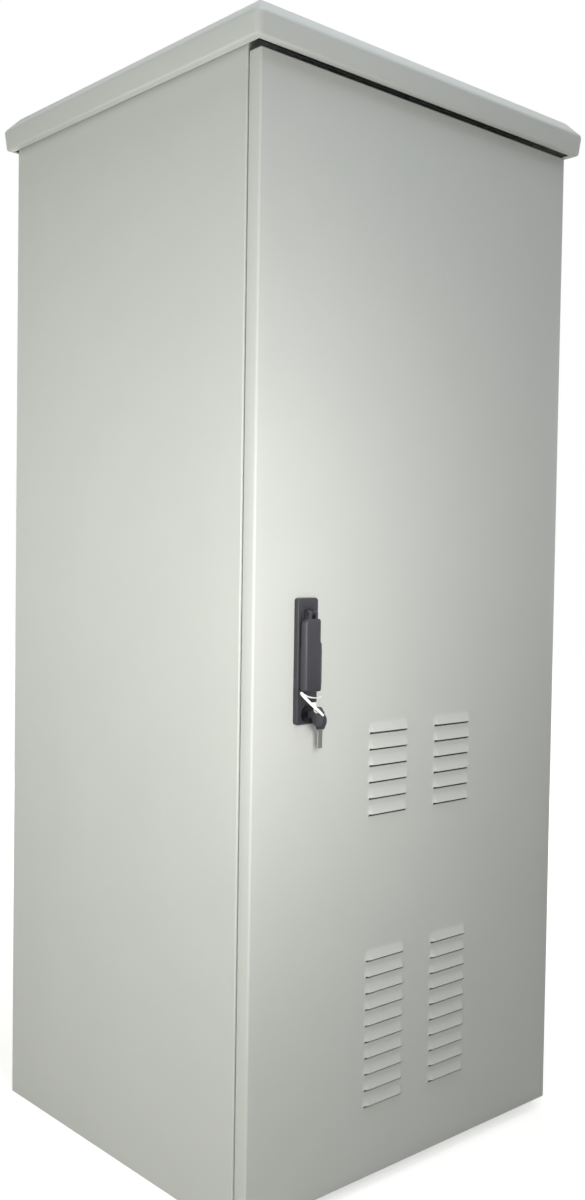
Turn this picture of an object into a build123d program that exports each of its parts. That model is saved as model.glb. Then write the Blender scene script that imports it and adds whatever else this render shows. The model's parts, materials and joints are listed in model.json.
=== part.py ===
from build123d import *
import math
import os

# Outdoor equipment cabinet, all sizes in millimetres. +Z is up and the door faces -Y.
# The origin is the centre of the four anchor holes, at the level of the floor.

# Body
BODY_WIDTH = 650.0
BODY_DEPTH = 596.0
BODY_HEIGHT = 1590.0
SHEET = 1.5
REAR_PANEL_INSET = 6.0
FRAME_SHEET = 2.0
BEND = 1.5
SIDE_FRONT_RETURN = 50.0
SIDE_REAR_RETURN = 20.0

# Plinth and floor
PLINTH_HEIGHT = 80.0
PLINTH_SHEET = 3.0
PLINTH_FLANGE = 40.0
ANCHOR_INSET = 24.0
ANCHOR_HOLE_R = 7.0
TOOL_HOLE = 26.0
CABLE_CUT_WIDTH = 300.0
CABLE_CUT_DEPTH = 130.0
CABLE_CUT_FROM_REAR = 158.0
GLAND_MARGIN = 15.0
ENTRY_WIDTH = 240.0
ENTRY_DEPTH = 60.0
SEAL_HEIGHT = 20.0
EARTH_BAR_HALF = 110.0
EARTH_BAR_SECTION = (20.0, 5.0)
EARTH_BAR_LIFT = 25.0
EARTH_BAR_GAP = 12.0
EARTH_FOOT_R = 9.0
EARTH_FOOT_X = 98.0

# Door
DOOR_GAP = 3.0
DOOR_DEPTH = 24.0
DOOR_BOTTOM = 16.0
DOOR_TOP_INSET = 20.0
DOOR_CORNER_R = 3.0
HEM = 12.0

# Door opening with its rain lip, and the seal that meets the lip
OPENING_MARGIN = 60.0
OPENING_SILL = 3.0
LIP_FORWARD = 13.5
LIP_BACK = 26.5
SEAL_WIDTH = 16.0
SEAL_CLEARANCE = 0.3

# Pressed louvres, hoods that open downwards
LOUVRE_WIDTH = 77.0
LOUVRE_HEIGHT = 13.5
LOUVRE_PROUD = 5.0
LOUVRE_END_TAPER = 5.0
LOUVRE_LIP = 3.0
LOUVRE_PITCH = 23.65
LOUVRE_X = (-62.0, 77.0)
UPPER_LOUVRE_BASE = 545.0
UPPER_LOUVRE_ROWS = 6
LOWER_LOUVRE_BASE = 121.0
LOWER_LOUVRE_ROWS = 10

# Stiffeners on the back of the door
HAT_DEPTH = 19.5
HAT_CROWN = 24.0
HAT_FLANGE = 12.0
LEFT_HAT_FROM_HANDLE = 48.9
RIGHT_HAT_INSET = 100.0
LOWER_CROSSBAR_Z = 440.0
MIDDLE_CROSSBAR_Z = 745.0
UPPER_CROSSBAR_DROP = 110.0
FILTER_DEPTH = 12.5
FILTER_MARGIN = 14.0
FILTER_CLEARANCE = 0.5

# Roof
ROOF_SIDE_OVERHANG = 24.0
ROOF_FRONT_OVERHANG = 21.0
ROOF_REAR_OVERHANG = 10.0
ROOF_DROP = 15.0
ROOF_FASCIA = 29.5
ROOF_BEVEL = 24.0
ROOF_FLANGE = 17.0
ROOF_REAR_FLANGE = 5.0
BRACKET_SIDE_INSET = 55.0
BRACKET_END_INSET = 68.0
BRACKET_LENGTH = 60.0
BRACKET_CROWN = 20.0
BRACKET_FOOT = 18.0

# Roof vents
VENT_WIDTH = 420.0
VENT_DEPTH = 90.0
VENT_Y = 125.0
VENT_SLOTS = 8
SCREEN_SHEET = 1.0
SCREEN_MARGIN = 14.0

# Rear corner posts, rail beams and rack rails
POST_DEPTH = 33.0
POST_REAR_FLANGE = 35.0
BEAM_HEIGHT = 40.0
BEAM_WIDTH = 25.0
BEAM_END_GAP = 90.0
RACK_UNIT = 44.45
RACK_HOLE_SPACING = 465.1
RACK_OPENING = 451.0
RACK_HOLE = 9.5
RACK_HOLE_STEP = 15.875
RACK_FIRST_HOLE = 6.35
RAIL_DEPTH = 40.0
RAIL_GAP = 20.0
FRONT_RAIL_INSET = 66.0
REAR_RAIL_SETBACK = 54.0
REAR_SLOT = (9.0, 20.0)

# Concealed hinges on the right edge
HINGE_EDGE = 7.0
HINGE_DEPTH = 12.5
HINGE_END = 184.0
HINGE_KNUCKLE_R = 4.8
HINGE_PIN_R = 2.5
HINGE_ARM_HALF = 20.0
HINGE_EAR = 12.0
HINGE_GAP = 0.3
HINGE_ARM_SHEET = 3.0
HINGE_PLATE = (36.0, 3.0)

# Swing handle on the left edge
HANDLE_CLEARANCE = 1.1
HANDLE_BOTTOM = 688.0
HANDLE_TOP = 859.0
HANDLE_WIDTH = 37.0
HANDLE_PROUD = 8.0
HANDLE_PLATE = 3.0
HANDLE_CORNER_R = 4.0
RECESS_WALL = 5.0
RECESS_ABOVE_TIP = 16.0
RECESS_BELOW_SPINDLE = 1.5
STUD_R = 3.0
SPINDLE_Z = 838.0
SPINDLE_R = 7.0
LEVER_TIP_Z = 733.0
LEVER_WIDTH = 30.0
LEVER_NECK = 15.0
LEVER_PROUD = 20.0
LEVER_PIVOT = 14.0
LEVER_EYE_R = 5.2
TONGUE = 6.0
RUN = 0.1
FIT = 0.05

# Rack and pinion that moves the two bolts
MODULE = 1.5
TEETH = 16
PRESSURE = math.radians(20)
ADDENDUM = MODULE * 0.8
DEDENDUM = MODULE * 16 / 15
BACKLASH = 0.2
PINION_FACE = 8.0
ROD_THICK = 6.0
ROD_WIDTH = 14.0
ROD_GAP = 0.4
ROD_SETBACK = 6.5
ROD_TAIL = 12.0
ROD_NOSE = 5.0
GEARBOX_HALF_HEIGHT = 28.0
GEARBOX_WALL = 2.0
GEARBOX_COVER = 6.0
GUIDE_FROM_END = 75.0
GUIDE_HALF = 9.0
GUIDE_WALL = 2.0
BOLT_GAP = 1.0
KEEPER_SHEET = 3.0
KEEPER_WEB = 16.0
KEEPER_TIP = 30.0
KEEPER_MARGIN = 0.5

# Cylinder lock with its key, and a second key on a strap
LOCK_Z = 702.0
BARREL_R = 9.0
PLUG_R = 5.5
BARREL_PROUD = 11.0
KEY_BOW_START = 19.0
KEY_BOW_END = 41.0
KEY_THICK = 3.5
KEY_HOLE_R = 3.0
SPARE_X = 18.0
SPARE_PROUD = 15.0
SPARE_HOLE_Z = -7.0
STRAP = (2.4, 1.2)

# Derived places
SIDE = BODY_WIDTH / 2
FRONT = -BODY_DEPTH / 2
REAR = BODY_DEPTH / 2
INNER_SIDE = SIDE - SHEET
PLATE_FRONT = FRONT + SHEET
PLATE_BACK = PLATE_FRONT + FRAME_SHEET
BACK_SHEET = REAR - SHEET
POST_BACK = BACK_SHEET - SHEET
FLOOR_BACK = POST_BACK - BEND
UNDER_TOP = BODY_HEIGHT - SHEET
FLOOR_TOP = PLINTH_HEIGHT + FRAME_SHEET
OPENING_HALF_WIDTH = SIDE - OPENING_MARGIN
OPENING_BOTTOM = FLOOR_TOP + OPENING_SILL
OPENING_TOP = BODY_HEIGHT - OPENING_MARGIN
DOOR_TOP = BODY_HEIGHT - DOOR_TOP_INSET
ROOF_BOTTOM = BODY_HEIGHT - ROOF_DROP
CABLE_CUT_Y = REAR - CABLE_CUT_FROM_REAR
POST_FRONT = POST_BACK - POST_DEPTH
DOOR_BACK = FRONT - DOOR_GAP
DOOR_FRONT = DOOR_BACK - DOOR_DEPTH
SKIN_BACK = DOOR_FRONT + SHEET
LIP_FRONT = PLATE_FRONT - LIP_FORWARD
SLEEVE = OPENING_HALF_WIDTH + FRAME_SHEET
HINGE_X = SIDE - HINGE_EDGE
HINGE_Y = DOOR_FRONT + HINGE_DEPTH
PITCH_R = MODULE * TEETH / 2
ROD_INNER = PITCH_R + DEDENDUM
ROD_OUTER = ROD_INNER + ROD_THICK
GEARBOX_HALF_WIDTH = ROD_OUTER + ROD_GAP + GEARBOX_WALL
SEAL_INSET = (SEAL_WIDTH - FRAME_SHEET) / 2
HANDLE_MIDDLE = (HANDLE_TOP + HANDLE_BOTTOM) / 2
HANDLE_X = -(OPENING_HALF_WIDTH - SEAL_INSET) + GEARBOX_HALF_WIDTH + HANDLE_CLEARANCE
LEFT_HAT_X = HANDLE_X + LEFT_HAT_FROM_HANDLE
RIGHT_HAT_X = SIDE - RIGHT_HAT_INSET
CROSSBAR_Z = (LOWER_CROSSBAR_Z, MIDDLE_CROSSBAR_Z, OPENING_TOP - UPPER_CROSSBAR_DROP)
BEAM_Z = (OPENING_BOTTOM + BEAM_END_GAP, (OPENING_BOTTOM + OPENING_TOP) / 2, OPENING_TOP - BEAM_END_GAP)
RAIL_BOTTOM = OPENING_BOTTOM + RAIL_GAP
RACK_UNITS = int((OPENING_TOP - RAIL_BOTTOM) // RACK_UNIT)
FRONT_RAIL_Y = FRONT + FRONT_RAIL_INSET
REAR_RAIL_Y = POST_FRONT - REAR_RAIL_SETBACK - RAIL_DEPTH
HINGE_Z = (DOOR_BOTTOM + HINGE_END, (DOOR_BOTTOM + DOOR_TOP) / 2, DOOR_TOP - HINGE_END)
ROD_FRONT = SKIN_BACK + ROD_SETBACK
ROD_BACK = ROD_FRONT + ROD_THICK
PINION_FRONT = (ROD_FRONT + ROD_BACK - PINION_FACE) / 2
PINION_BACK = PINION_FRONT + PINION_FACE
GEARBOX_BACK = PINION_BACK + GEARBOX_COVER
TRAVEL = PITCH_R * math.pi / 2


def block(x0, x1, y0, y1, z0, z1):
    """Box between two opposite corners."""
    middle = Pos((x0 + x1) / 2, (y0 + y1) / 2, (z0 + z1) / 2)
    return middle * Box(abs(x1 - x0), abs(y1 - y0), abs(z1 - z0))


def round_x(y, z, radius, x0, x1):
    """Cylinder along X."""
    return Pos((x0 + x1) / 2, y, z) * Rot(0, 90, 0) * Cylinder(radius, abs(x1 - x0))


def round_y(x, z, radius, y0, y1):
    """Cylinder along Y."""
    return Pos(x, (y0 + y1) / 2, z) * Rot(90, 0, 0) * Cylinder(radius, abs(y1 - y0))


def round_z(x, y, radius, z0, z1):
    """Cylinder along Z."""
    return Pos(x, y, (z0 + z1) / 2) * Cylinder(radius, abs(z1 - z0))


def front_plane(y, x=0.0, z=0.0):
    """Plane that faces the front, with its own X and Y along the cabinet's X and Z."""
    return Plane(origin=(x, y, z), x_dir=(1, 0, 0), z_dir=(0, -1, 0))


def side_plane(x):
    """Plane that faces right, with its own X and Y along the cabinet's Y and Z."""
    return Plane(origin=(x, 0, 0), x_dir=(0, 1, 0), z_dir=(1, 0, 0))


def along_y(sketch, y0, y1, x=0.0, z=0.0):
    """Sketch in X and Z, drawn out from y1 forwards to y0."""
    return extrude(front_plane(y1, x, z) * sketch, y1 - y0)


def along_x(sketch, x0, x1):
    """Sketch in Y and Z, drawn out from x0 to x1."""
    return extrude(side_plane(x0) * sketch, x1 - x0)


def along_z(sketch, z0, z1):
    """Sketch in X and Y, drawn out from z0 to z1."""
    return extrude(Plane.XY.offset(z0) * sketch, z1 - z0)


def folded(points, thickness, bend=0.0):
    """Section of a folded sheet to the left of an open line, or to the right if it is negative."""
    line = [Vector(*point) for point in points]
    steps = [(b - a).normalized() for a, b in zip(line, line[1:])]
    before = [steps[0]] + steps
    after = steps + [steps[-1]]
    other = []
    near_radii = []
    far_radii = []
    for point, a, b in zip(line, before, after):
        normals = Vector(-a.Y - b.Y, a.X + b.X)
        other.append(point + normals * (thickness / (1 + a.dot(b))))
        turn = (a.X * b.Y - a.Y * b.X) * thickness
        outside = bend + abs(thickness) if bend else 0
        near_radii.append(0 if abs(turn) < 1e-6 else outside if turn > 0 else bend)
        far_radii.append(0 if abs(turn) < 1e-6 else bend if turn > 0 else outside)
    outline = FilletPolyline(*line, *other[::-1], radius=near_radii + far_radii[::-1], close=True)
    return make_face(outline)


def both_sides(shape):
    """The right-hand piece and its mirror image."""
    return [shape, mirror(shape, Plane.YZ)]


def ring(half_width, bottom, top, width):
    """Rectangular ring in X and Z, its band outside the given edge."""
    outer = Rectangle(2 * (half_width + width), top - bottom + 2 * width)
    return Pos(0, (bottom + top) / 2) * (outer - Rectangle(2 * half_width, top - bottom))


def corners(x, y):
    """Four places in a rectangle about the middle."""
    return [(i * x, j * y) for i in (-1, 1) for j in (-1, 1)]


def hexagon(width):
    """Hexagon by its width over flats."""
    return RegularPolygon(width / 2, 6, major_radius=False)


def tool_hole(x, y, z0, z1):
    """Square hole through which an anchor is reached."""
    half = TOOL_HOLE / 2
    return block(x - half, x + half, y - half, y + half, z0, z1)


def base_frame():
    """Welded channel ring that stands on the floor, with anchor holes at its corners."""
    x = INNER_SIDE
    y0 = PLATE_BACK
    y1 = FLOOR_BACK
    t = PLINTH_SHEET
    body = block(-x, x, y0, y1, 0, PLINTH_HEIGHT)
    body -= block(-x + t, x - t, y0 + t, y1 - t, t, PLINTH_HEIGHT - t)
    f = PLINTH_FLANGE
    body -= block(-x + f, x - f, y0 + f, y1 - f, -1, PLINTH_HEIGHT + 1)
    for px, py in corners(SIDE - ANCHOR_INSET, REAR - ANCHOR_INSET):
        body -= round_z(px, py, ANCHOR_HOLE_R, -1, t + 1)
        body -= tool_hole(px, py, t + 1, PLINTH_HEIGHT + 1)
    return body


def floor_plate():
    """Floor sheet with a cable cut-out and the four tool holes over the anchors."""
    plate = block(-INNER_SIDE, INNER_SIDE, PLATE_BACK, FLOOR_BACK, PLINTH_HEIGHT, FLOOR_TOP)
    cut = Pos(0, CABLE_CUT_Y) * Rectangle(CABLE_CUT_WIDTH, CABLE_CUT_DEPTH)
    plate -= along_z(cut, PLINTH_HEIGHT - 1, FLOOR_TOP + 1)
    for px, py in corners(SIDE - ANCHOR_INSET, REAR - ANCHOR_INSET):
        plate -= tool_hole(px, py, PLINTH_HEIGHT - 1, FLOOR_TOP + 1)
    return plate


def gland_plate():
    """Plate over the cable cut-out, with a slot that is turned up all round to hold the cable seal."""
    margin = 2 * GLAND_MARGIN
    outline = Rectangle(CABLE_CUT_WIDTH + margin, CABLE_CUT_DEPTH + margin)
    slot = Rectangle(ENTRY_WIDTH, ENTRY_DEPTH)
    collar = Rectangle(ENTRY_WIDTH + 2 * FRAME_SHEET, ENTRY_DEPTH + 2 * FRAME_SHEET)
    plate = along_z(Pos(0, CABLE_CUT_Y) * (outline - slot), FLOOR_TOP, FLOOR_TOP + FRAME_SHEET)
    return plate + along_z(Pos(0, CABLE_CUT_Y) * (collar - slot), FLOOR_TOP, FLOOR_TOP + SEAL_HEIGHT)


def cable_seal():
    """Two foam blocks that close on the cables."""
    half = ENTRY_DEPTH / 2 - SEAL_CLEARANCE
    x = ENTRY_WIDTH / 2 - SEAL_CLEARANCE
    high = FLOOR_TOP + SEAL_HEIGHT
    front = block(-x, x, CABLE_CUT_Y - half, CABLE_CUT_Y - SEAL_CLEARANCE / 2, FLOOR_TOP, high)
    return [front, mirror(front, Plane.XZ.offset(-CABLE_CUT_Y))]


def front_frame():
    """Frame behind the door, with a sleeve round the opening that forms the rain lip."""
    half = INNER_SIDE - BEND
    plate = block(-half, half, PLATE_FRONT, PLATE_BACK, 0, UNDER_TOP)
    middle = (OPENING_BOTTOM + OPENING_TOP) / 2
    height = OPENING_TOP - OPENING_BOTTOM
    hole = Pos(0, middle) * Rectangle(2 * OPENING_HALF_WIDTH, height)
    plate -= along_y(hole, PLATE_FRONT - 1, PLATE_BACK + 1)
    sleeve = ring(OPENING_HALF_WIDTH, OPENING_BOTTOM, OPENING_TOP, FRAME_SHEET)
    return plate + along_y(sleeve, LIP_FRONT, PLATE_FRONT + LIP_BACK)


def keeper(side):
    """Cranked bracket under the sleeve, with a tongue in front of a bolt's end; side is 1 at the top."""
    edge = OPENING_TOP if side > 0 else OPENING_BOTTOM
    tongue = ROD_FRONT - ROD_GAP - KEEPER_SHEET
    web = edge - side * KEEPER_WEB
    tip = edge - side * KEEPER_TIP
    back = PLATE_FRONT + LIP_BACK
    points = [(tongue, tip), (tongue, web), (PLATE_BACK, web), (PLATE_BACK, edge), (back, edge)]
    section = folded(points, -side * KEEPER_SHEET)
    half = ROD_WIDTH / 2 + KEEPER_MARGIN
    middle = bolt_middle(side)
    return along_x(section, middle - half, middle + half)


def rear_post():
    """Right rear corner post, a folded channel between the floor and the top plate."""
    outer = INNER_SIDE - BEND
    rear = (SIDE - POST_REAR_FLANGE, POST_BACK)
    points = [(SLEEVE, POST_FRONT), (outer, POST_FRONT), (outer, POST_BACK), rear]
    return along_z(folded(points, FRAME_SHEET), FLOOR_TOP, UNDER_TOP)


def side_panel():
    """Right side sheet, folded in behind the door and again at the rear."""
    points = [
        (SIDE - SIDE_FRONT_RETURN, FRONT),
        (SIDE, FRONT),
        (SIDE, BACK_SHEET),
        (SIDE - SIDE_REAR_RETURN, BACK_SHEET),
    ]
    return along_z(folded(points, SHEET, BEND), 0, UNDER_TOP)


def rear_panel():
    """Flat rear sheet over the returns of the sides."""
    half = SIDE - 2
    return block(-half, half, BACK_SHEET, REAR, REAR_PANEL_INSET, UNDER_TOP - 2)


def top_plate():
    """Top sheet of the body, with two vent windows."""
    plate = block(-SIDE, SIDE, FRONT, REAR, UNDER_TOP, BODY_HEIGHT)
    windows = GridLocations(1, 2 * VENT_Y, 1, 2) * Rectangle(VENT_WIDTH, VENT_DEPTH)
    return plate - along_z(Sketch() + windows, UNDER_TOP - 1, BODY_HEIGHT + 1)


def vent_screens():
    """Slotted screens under the vent windows."""
    width = VENT_WIDTH + 2 * SCREEN_MARGIN
    depth = VENT_DEPTH + 2 * SCREEN_MARGIN
    pitch = VENT_WIDTH / VENT_SLOTS
    slots = GridLocations(pitch, 1, VENT_SLOTS, 1) * Rectangle(pitch * 0.3, VENT_DEPTH - 10)
    sheet = Rectangle(width, depth) - slots
    return [along_z(Pos(0, y) * sheet, UNDER_TOP - SCREEN_SHEET, UNDER_TOP) for y in (-VENT_Y, VENT_Y)]


def roof_form(inset, bevel, bottom):
    """Closed block with bevelled top edges, inset from the outside of the roof."""
    x = SIDE + ROOF_SIDE_OVERHANG - inset
    y0 = DOOR_FRONT - ROOF_FRONT_OVERHANG + inset
    y1 = REAR + ROOF_REAR_OVERHANG - inset
    top = ROOF_BOTTOM + ROOF_FASCIA + ROOF_BEVEL - inset
    form = block(-x, x, y0, y1, bottom, top)
    return chamfer(form.faces().sort_by(Axis.Z)[-1].edges(), bevel)


def roof_cap():
    """Bevelled rain cap with an inward flange along its lower edge."""
    cap = roof_form(0, ROOF_BEVEL, ROOF_BOTTOM)
    cap -= roof_form(SHEET, ROOF_BEVEL - SHEET * (2 - math.sqrt(2)), ROOF_BOTTOM + SHEET)
    x = SIDE + ROOF_SIDE_OVERHANG - ROOF_FLANGE
    y0 = DOOR_FRONT - ROOF_FRONT_OVERHANG + ROOF_FLANGE
    y1 = REAR + ROOF_REAR_OVERHANG - ROOF_REAR_FLANGE
    return cap - block(-x, x, y0, y1, ROOF_BOTTOM - 1, ROOF_BOTTOM + SHEET + 1)


def roof_brackets():
    """Hat brackets that hold the roof above the top plate and leave the air gap."""
    under = ROOF_BOTTOM + ROOF_FASCIA + ROOF_BEVEL - SHEET
    foot = BODY_HEIGHT + FRAME_SHEET
    crown = BRACKET_CROWN
    toe = BRACKET_CROWN + BRACKET_FOOT
    points = [(-toe, foot), (-crown, foot), (-crown, under), (crown, under), (crown, foot), (toe, foot)]
    bracket = along_y(folded(points, -FRAME_SHEET), -BRACKET_LENGTH / 2, BRACKET_LENGTH / 2)
    places = corners(SIDE - BRACKET_SIDE_INSET, REAR - BRACKET_END_INSET)
    return [Pos(x, y, 0) * bracket for x, y in places]


def rail_beams():
    """Channels at three heights, from the front frame to the rear post on each side."""
    half = BEAM_HEIGHT / 2
    outer = SLEEVE + BEAM_WIDTH
    points = [(outer, -half), (SLEEVE, -half), (SLEEVE, half), (outer, half)]
    beam = along_y(folded(points, -FRAME_SHEET), PLATE_BACK, POST_FRONT)
    return [Pos(0, 0, z) * piece for z in BEAM_Z for piece in both_sides(beam)]


def rail(y, holes):
    """Right rack rail, an angle with its punched flange across the bay."""
    edge = RACK_OPENING / 2
    points = [(edge, y), (SLEEVE, y), (SLEEVE, y + RAIL_DEPTH)]
    body = along_z(folded(points, FRAME_SHEET), RAIL_BOTTOM, RAIL_BOTTOM + RACK_UNITS * RACK_UNIT)
    return body - along_y(Sketch() + holes, y - 1, y + FRAME_SHEET + 1)


def square_holes():
    """Three square holes in each unit."""
    x = RACK_HOLE_SPACING / 2
    places = []
    for unit in range(RACK_UNITS):
        for step in range(3):
            places.append((x, RAIL_BOTTOM + unit * RACK_UNIT + RACK_FIRST_HOLE + step * RACK_HOLE_STEP))
    return [Pos(*place) * Rectangle(RACK_HOLE, RACK_HOLE) for place in places]


def rear_slots():
    """One upright slot in every second unit."""
    x = RACK_HOLE_SPACING / 2
    middles = [RAIL_BOTTOM + (unit + 0.5) * RACK_UNIT for unit in range(0, RACK_UNITS, 2)]
    return [Pos(x, z) * Rectangle(*REAR_SLOT) for z in middles]


def earth_bar():
    """Copper bar with a row of holes, over the floor behind the cable entry, and its insulator feet."""
    deep, thick = EARTH_BAR_SECTION
    front = CABLE_CUT_Y + CABLE_CUT_DEPTH / 2 + GLAND_MARGIN + EARTH_BAR_GAP
    y = front + deep / 2
    low = FLOOR_TOP + EARTH_BAR_LIFT
    bar = block(-EARTH_BAR_HALF, EARTH_BAR_HALF, front, front + deep, low, low + thick)
    holes = [round_z(x, y, 3.3, low - 1, low + thick + 1) for x in (-45, 0, 45)]
    feet = [round_z(x, y, EARTH_FOOT_R, FLOOR_TOP, low) for x in (-EARTH_FOOT_X, EARTH_FOOT_X)]
    return bar - holes, feet


def hinge_frame_leaf(z):
    """Cranked arm from the side's front return to the pin."""
    seat = FRONT - HINGE_Y
    front = seat - HINGE_ARM_SHEET
    foot = [(-40, front), (-22, front), (-22, -4.5), (0, -4.5)]
    foot += [(0, 0.5), (-16, 0.5), (-16, seat), (-40, seat)]
    radii = [0, 2, 5, 0, 0, 2, 0, 0]
    section = make_face(FilletPolyline(*foot, radius=radii, close=True)) + Circle(HINGE_KNUCKLE_R)
    section -= Circle(HINGE_PIN_R + RUN)
    return along_z(Pos(HINGE_X, HINGE_Y) * section, z - HINGE_ARM_HALF, z + HINGE_ARM_HALF)


def hinge_door_leaf(z):
    """Plate on the back of the door, with its pin held in an ear above and below the arm."""
    r = HINGE_KNUCKLE_R
    plate_y = SKIN_BACK - HINGE_Y
    low = z - HINGE_ARM_HALF - HINGE_GAP - HINGE_EAR
    high = z + HINGE_ARM_HALF + HINGE_GAP + HINGE_EAR
    plate = Pos(-14, plate_y + HINGE_PLATE[1] / 2) * Rectangle(*HINGE_PLATE)
    ear = Pos(0, plate_y / 2) * Rectangle(2 * r, -plate_y) + Circle(r)
    leaf = along_z(Pos(HINGE_X, HINGE_Y) * plate, low, high)
    leaf += along_z(Pos(HINGE_X, HINGE_Y) * ear, low, low + HINGE_EAR)
    leaf += along_z(Pos(HINGE_X, HINGE_Y) * ear, high - HINGE_EAR, high)
    return leaf + round_z(HINGE_X, HINGE_Y, HINGE_PIN_R, low, high)


def hood(inset, behind, below):
    """Hipped hood of a louvre; an inset one, carried behind the sheet and below the lip, hollows it."""
    proud = LOUVRE_PROUD - inset
    slope = (LOUVRE_HEIGHT - LOUVRE_LIP) / LOUVRE_PROUD
    taper = LOUVRE_END_TAPER / LOUVRE_PROUD
    high = LOUVRE_HEIGHT - inset
    half = LOUVRE_WIDTH / 2 - inset
    back = DOOR_FRONT + behind
    front = DOOR_FRONT - proud
    side = [(back, -below), (back, high + slope * behind), (front, high - slope * proud), (front, -below)]
    plan = [(-half - taper * behind, back), (half + taper * behind, back)]
    plan += [(half - taper * proud, front), (-half + taper * proud, front)]
    length = along_x(make_face(Polyline(*side, close=True)), -LOUVRE_WIDTH, LOUVRE_WIDTH)
    return length & along_z(make_face(Polyline(*plan, close=True)), -LOUVRE_HEIGHT, 2 * LOUVRE_HEIGHT)


def louvre_places():
    """Middle and lower lip of every louvre."""
    places = []
    for base, rows in ((UPPER_LOUVRE_BASE, UPPER_LOUVRE_ROWS), (LOWER_LOUVRE_BASE, LOWER_LOUVRE_ROWS)):
        for x in LOUVRE_X:
            places += [(x, base + row * LOUVRE_PITCH) for row in range(rows)]
    return places


def door_skin():
    """Door pan with returns all round, a hem on three edges, and pressed louvres."""
    height = DOOR_TOP - DOOR_BOTTOM
    middle = (DOOR_TOP + DOOR_BOTTOM) / 2
    outer = Pos(0, middle) * RectangleRounded(BODY_WIDTH, height, DOOR_CORNER_R)
    pan = along_y(outer, DOOR_FRONT, DOOR_BACK)
    pan = fillet(pan.faces().sort_by(Axis.Y)[0].edges(), DOOR_CORNER_R - 0.5)
    t = SHEET
    inner = Pos(0, middle) * RectangleRounded(BODY_WIDTH - 2 * t, height - 2 * t, DOOR_CORNER_R - t)
    pan -= along_y(inner, SKIN_BACK, DOOR_BACK + 1)
    x = SIDE - 1
    low = DOOR_BOTTOM + 1
    high = DOOR_TOP - 1
    pan += block(-x, -x + HEM, DOOR_BACK - t, DOOR_BACK, low, high)
    for z0, z1 in ((low, low + HEM), (high - HEM, high)):
        pan += block(-x, HINGE_X - 30, DOOR_BACK - t, DOOR_BACK, z0, z1)
    places = louvre_places()
    outside = hood(0, 0, 0)
    inside = hood(SHEET * 0.9, SHEET + 0.5, 0.4)
    pan += [Pos(px, 0, pz) * outside for px, pz in places]
    pan -= [Pos(px, 0, pz) * inside for px, pz in places]
    pan -= round_y(HANDLE_X, SPINDLE_Z, SPINDLE_R + 1, DOOR_FRONT - 1, SKIN_BACK + 1)
    pan -= round_y(HANDLE_X, LOCK_Z, BARREL_R + 0.5, DOOR_FRONT - 1, SKIN_BACK + 1)
    pan -= [round_y(HANDLE_X, z, STUD_R + 0.3, DOOR_FRONT - 1, SKIN_BACK + 1) for z in stud_heights()]
    return pan


def hat_section(middle):
    """Section of a stiffener, its flanges on the back of the door."""
    half = HAT_CROWN / 2
    flange = SKIN_BACK + SHEET
    crown = SKIN_BACK + HAT_DEPTH
    left = [(middle - half - HAT_FLANGE, flange), (middle - half, flange), (middle - half, crown)]
    right = [(middle + half, crown), (middle + half, flange), (middle + half + HAT_FLANGE, flange)]
    return left + right


def stiffener(x):
    """Upright stiffener inside the seal."""
    low = OPENING_BOTTOM + SEAL_WIDTH
    high = OPENING_TOP - SEAL_WIDTH
    return along_z(folded(hat_section(x), -SHEET), low, high)


def crossbar(z):
    """Level stiffener between the two upright ones."""
    points = [(y, level) for level, y in hat_section(z)]
    half = HAT_CROWN / 2 + HAT_FLANGE
    return along_x(folded(points, SHEET), LEFT_HAT_X + half, RIGHT_HAT_X - half)


def door_gasket():
    """Foam seal on the back of the door, just clear of the rain lip."""
    bottom = OPENING_BOTTOM + SEAL_INSET
    top = OPENING_TOP - SEAL_INSET
    seal = ring(OPENING_HALF_WIDTH - SEAL_INSET, bottom, top, SEAL_WIDTH)
    return along_y(seal, SKIN_BACK, LIP_FRONT - SEAL_CLEARANCE)


def filter_outline(base, rows):
    """Middle height, width and height of the filter tray behind one group of louvres."""
    low = base - FILTER_MARGIN
    high = base + (rows - 1) * LOUVRE_PITCH + LOUVRE_HEIGHT + FILTER_MARGIN
    width = LOUVRE_X[1] - LOUVRE_X[0] + LOUVRE_WIDTH + 2 * FILTER_MARGIN
    return (low + high) / 2, width, high - low


def filter_cover(base, rows):
    """Tray over the filter mat, slotted behind each louvre."""
    z, width, height = filter_outline(base, rows)
    x = sum(LOUVRE_X) / 2
    t = SHEET
    outside = Pos(x, z) * Rectangle(width, height)
    cover = along_y(outside, SKIN_BACK, SKIN_BACK + FILTER_DEPTH)
    hollow = Pos(x, z) * Rectangle(width - 2 * t, height - 2 * t)
    cover -= along_y(hollow, SKIN_BACK - 1, SKIN_BACK + FILTER_DEPTH - t)
    slots = [
        Pos(px, base + row * LOUVRE_PITCH + LOUVRE_HEIGHT / 2) * Rectangle(LOUVRE_WIDTH, LOUVRE_PITCH / 2)
        for px in LOUVRE_X
        for row in range(rows)
    ]
    return cover - along_y(Sketch() + slots, SKIN_BACK + FILTER_DEPTH - t - 1, SKIN_BACK + FILTER_DEPTH + 1)


def filter_mat(base, rows):
    """Filter mat that fills its tray."""
    z, width, height = filter_outline(base, rows)
    inset = 2 * (SHEET + FILTER_CLEARANCE)
    back = SKIN_BACK + FILTER_DEPTH - SHEET - FILTER_CLEARANCE
    mat = Pos(sum(LOUVRE_X) / 2, z) * Rectangle(width - inset, height - inset)
    return along_y(mat, SKIN_BACK + FILTER_CLEARANCE, back)


def stud_heights():
    """Heights of the two studs that hold the handle's base."""
    return (LOCK_Z + 26, SPINDLE_Z - 50)


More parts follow.
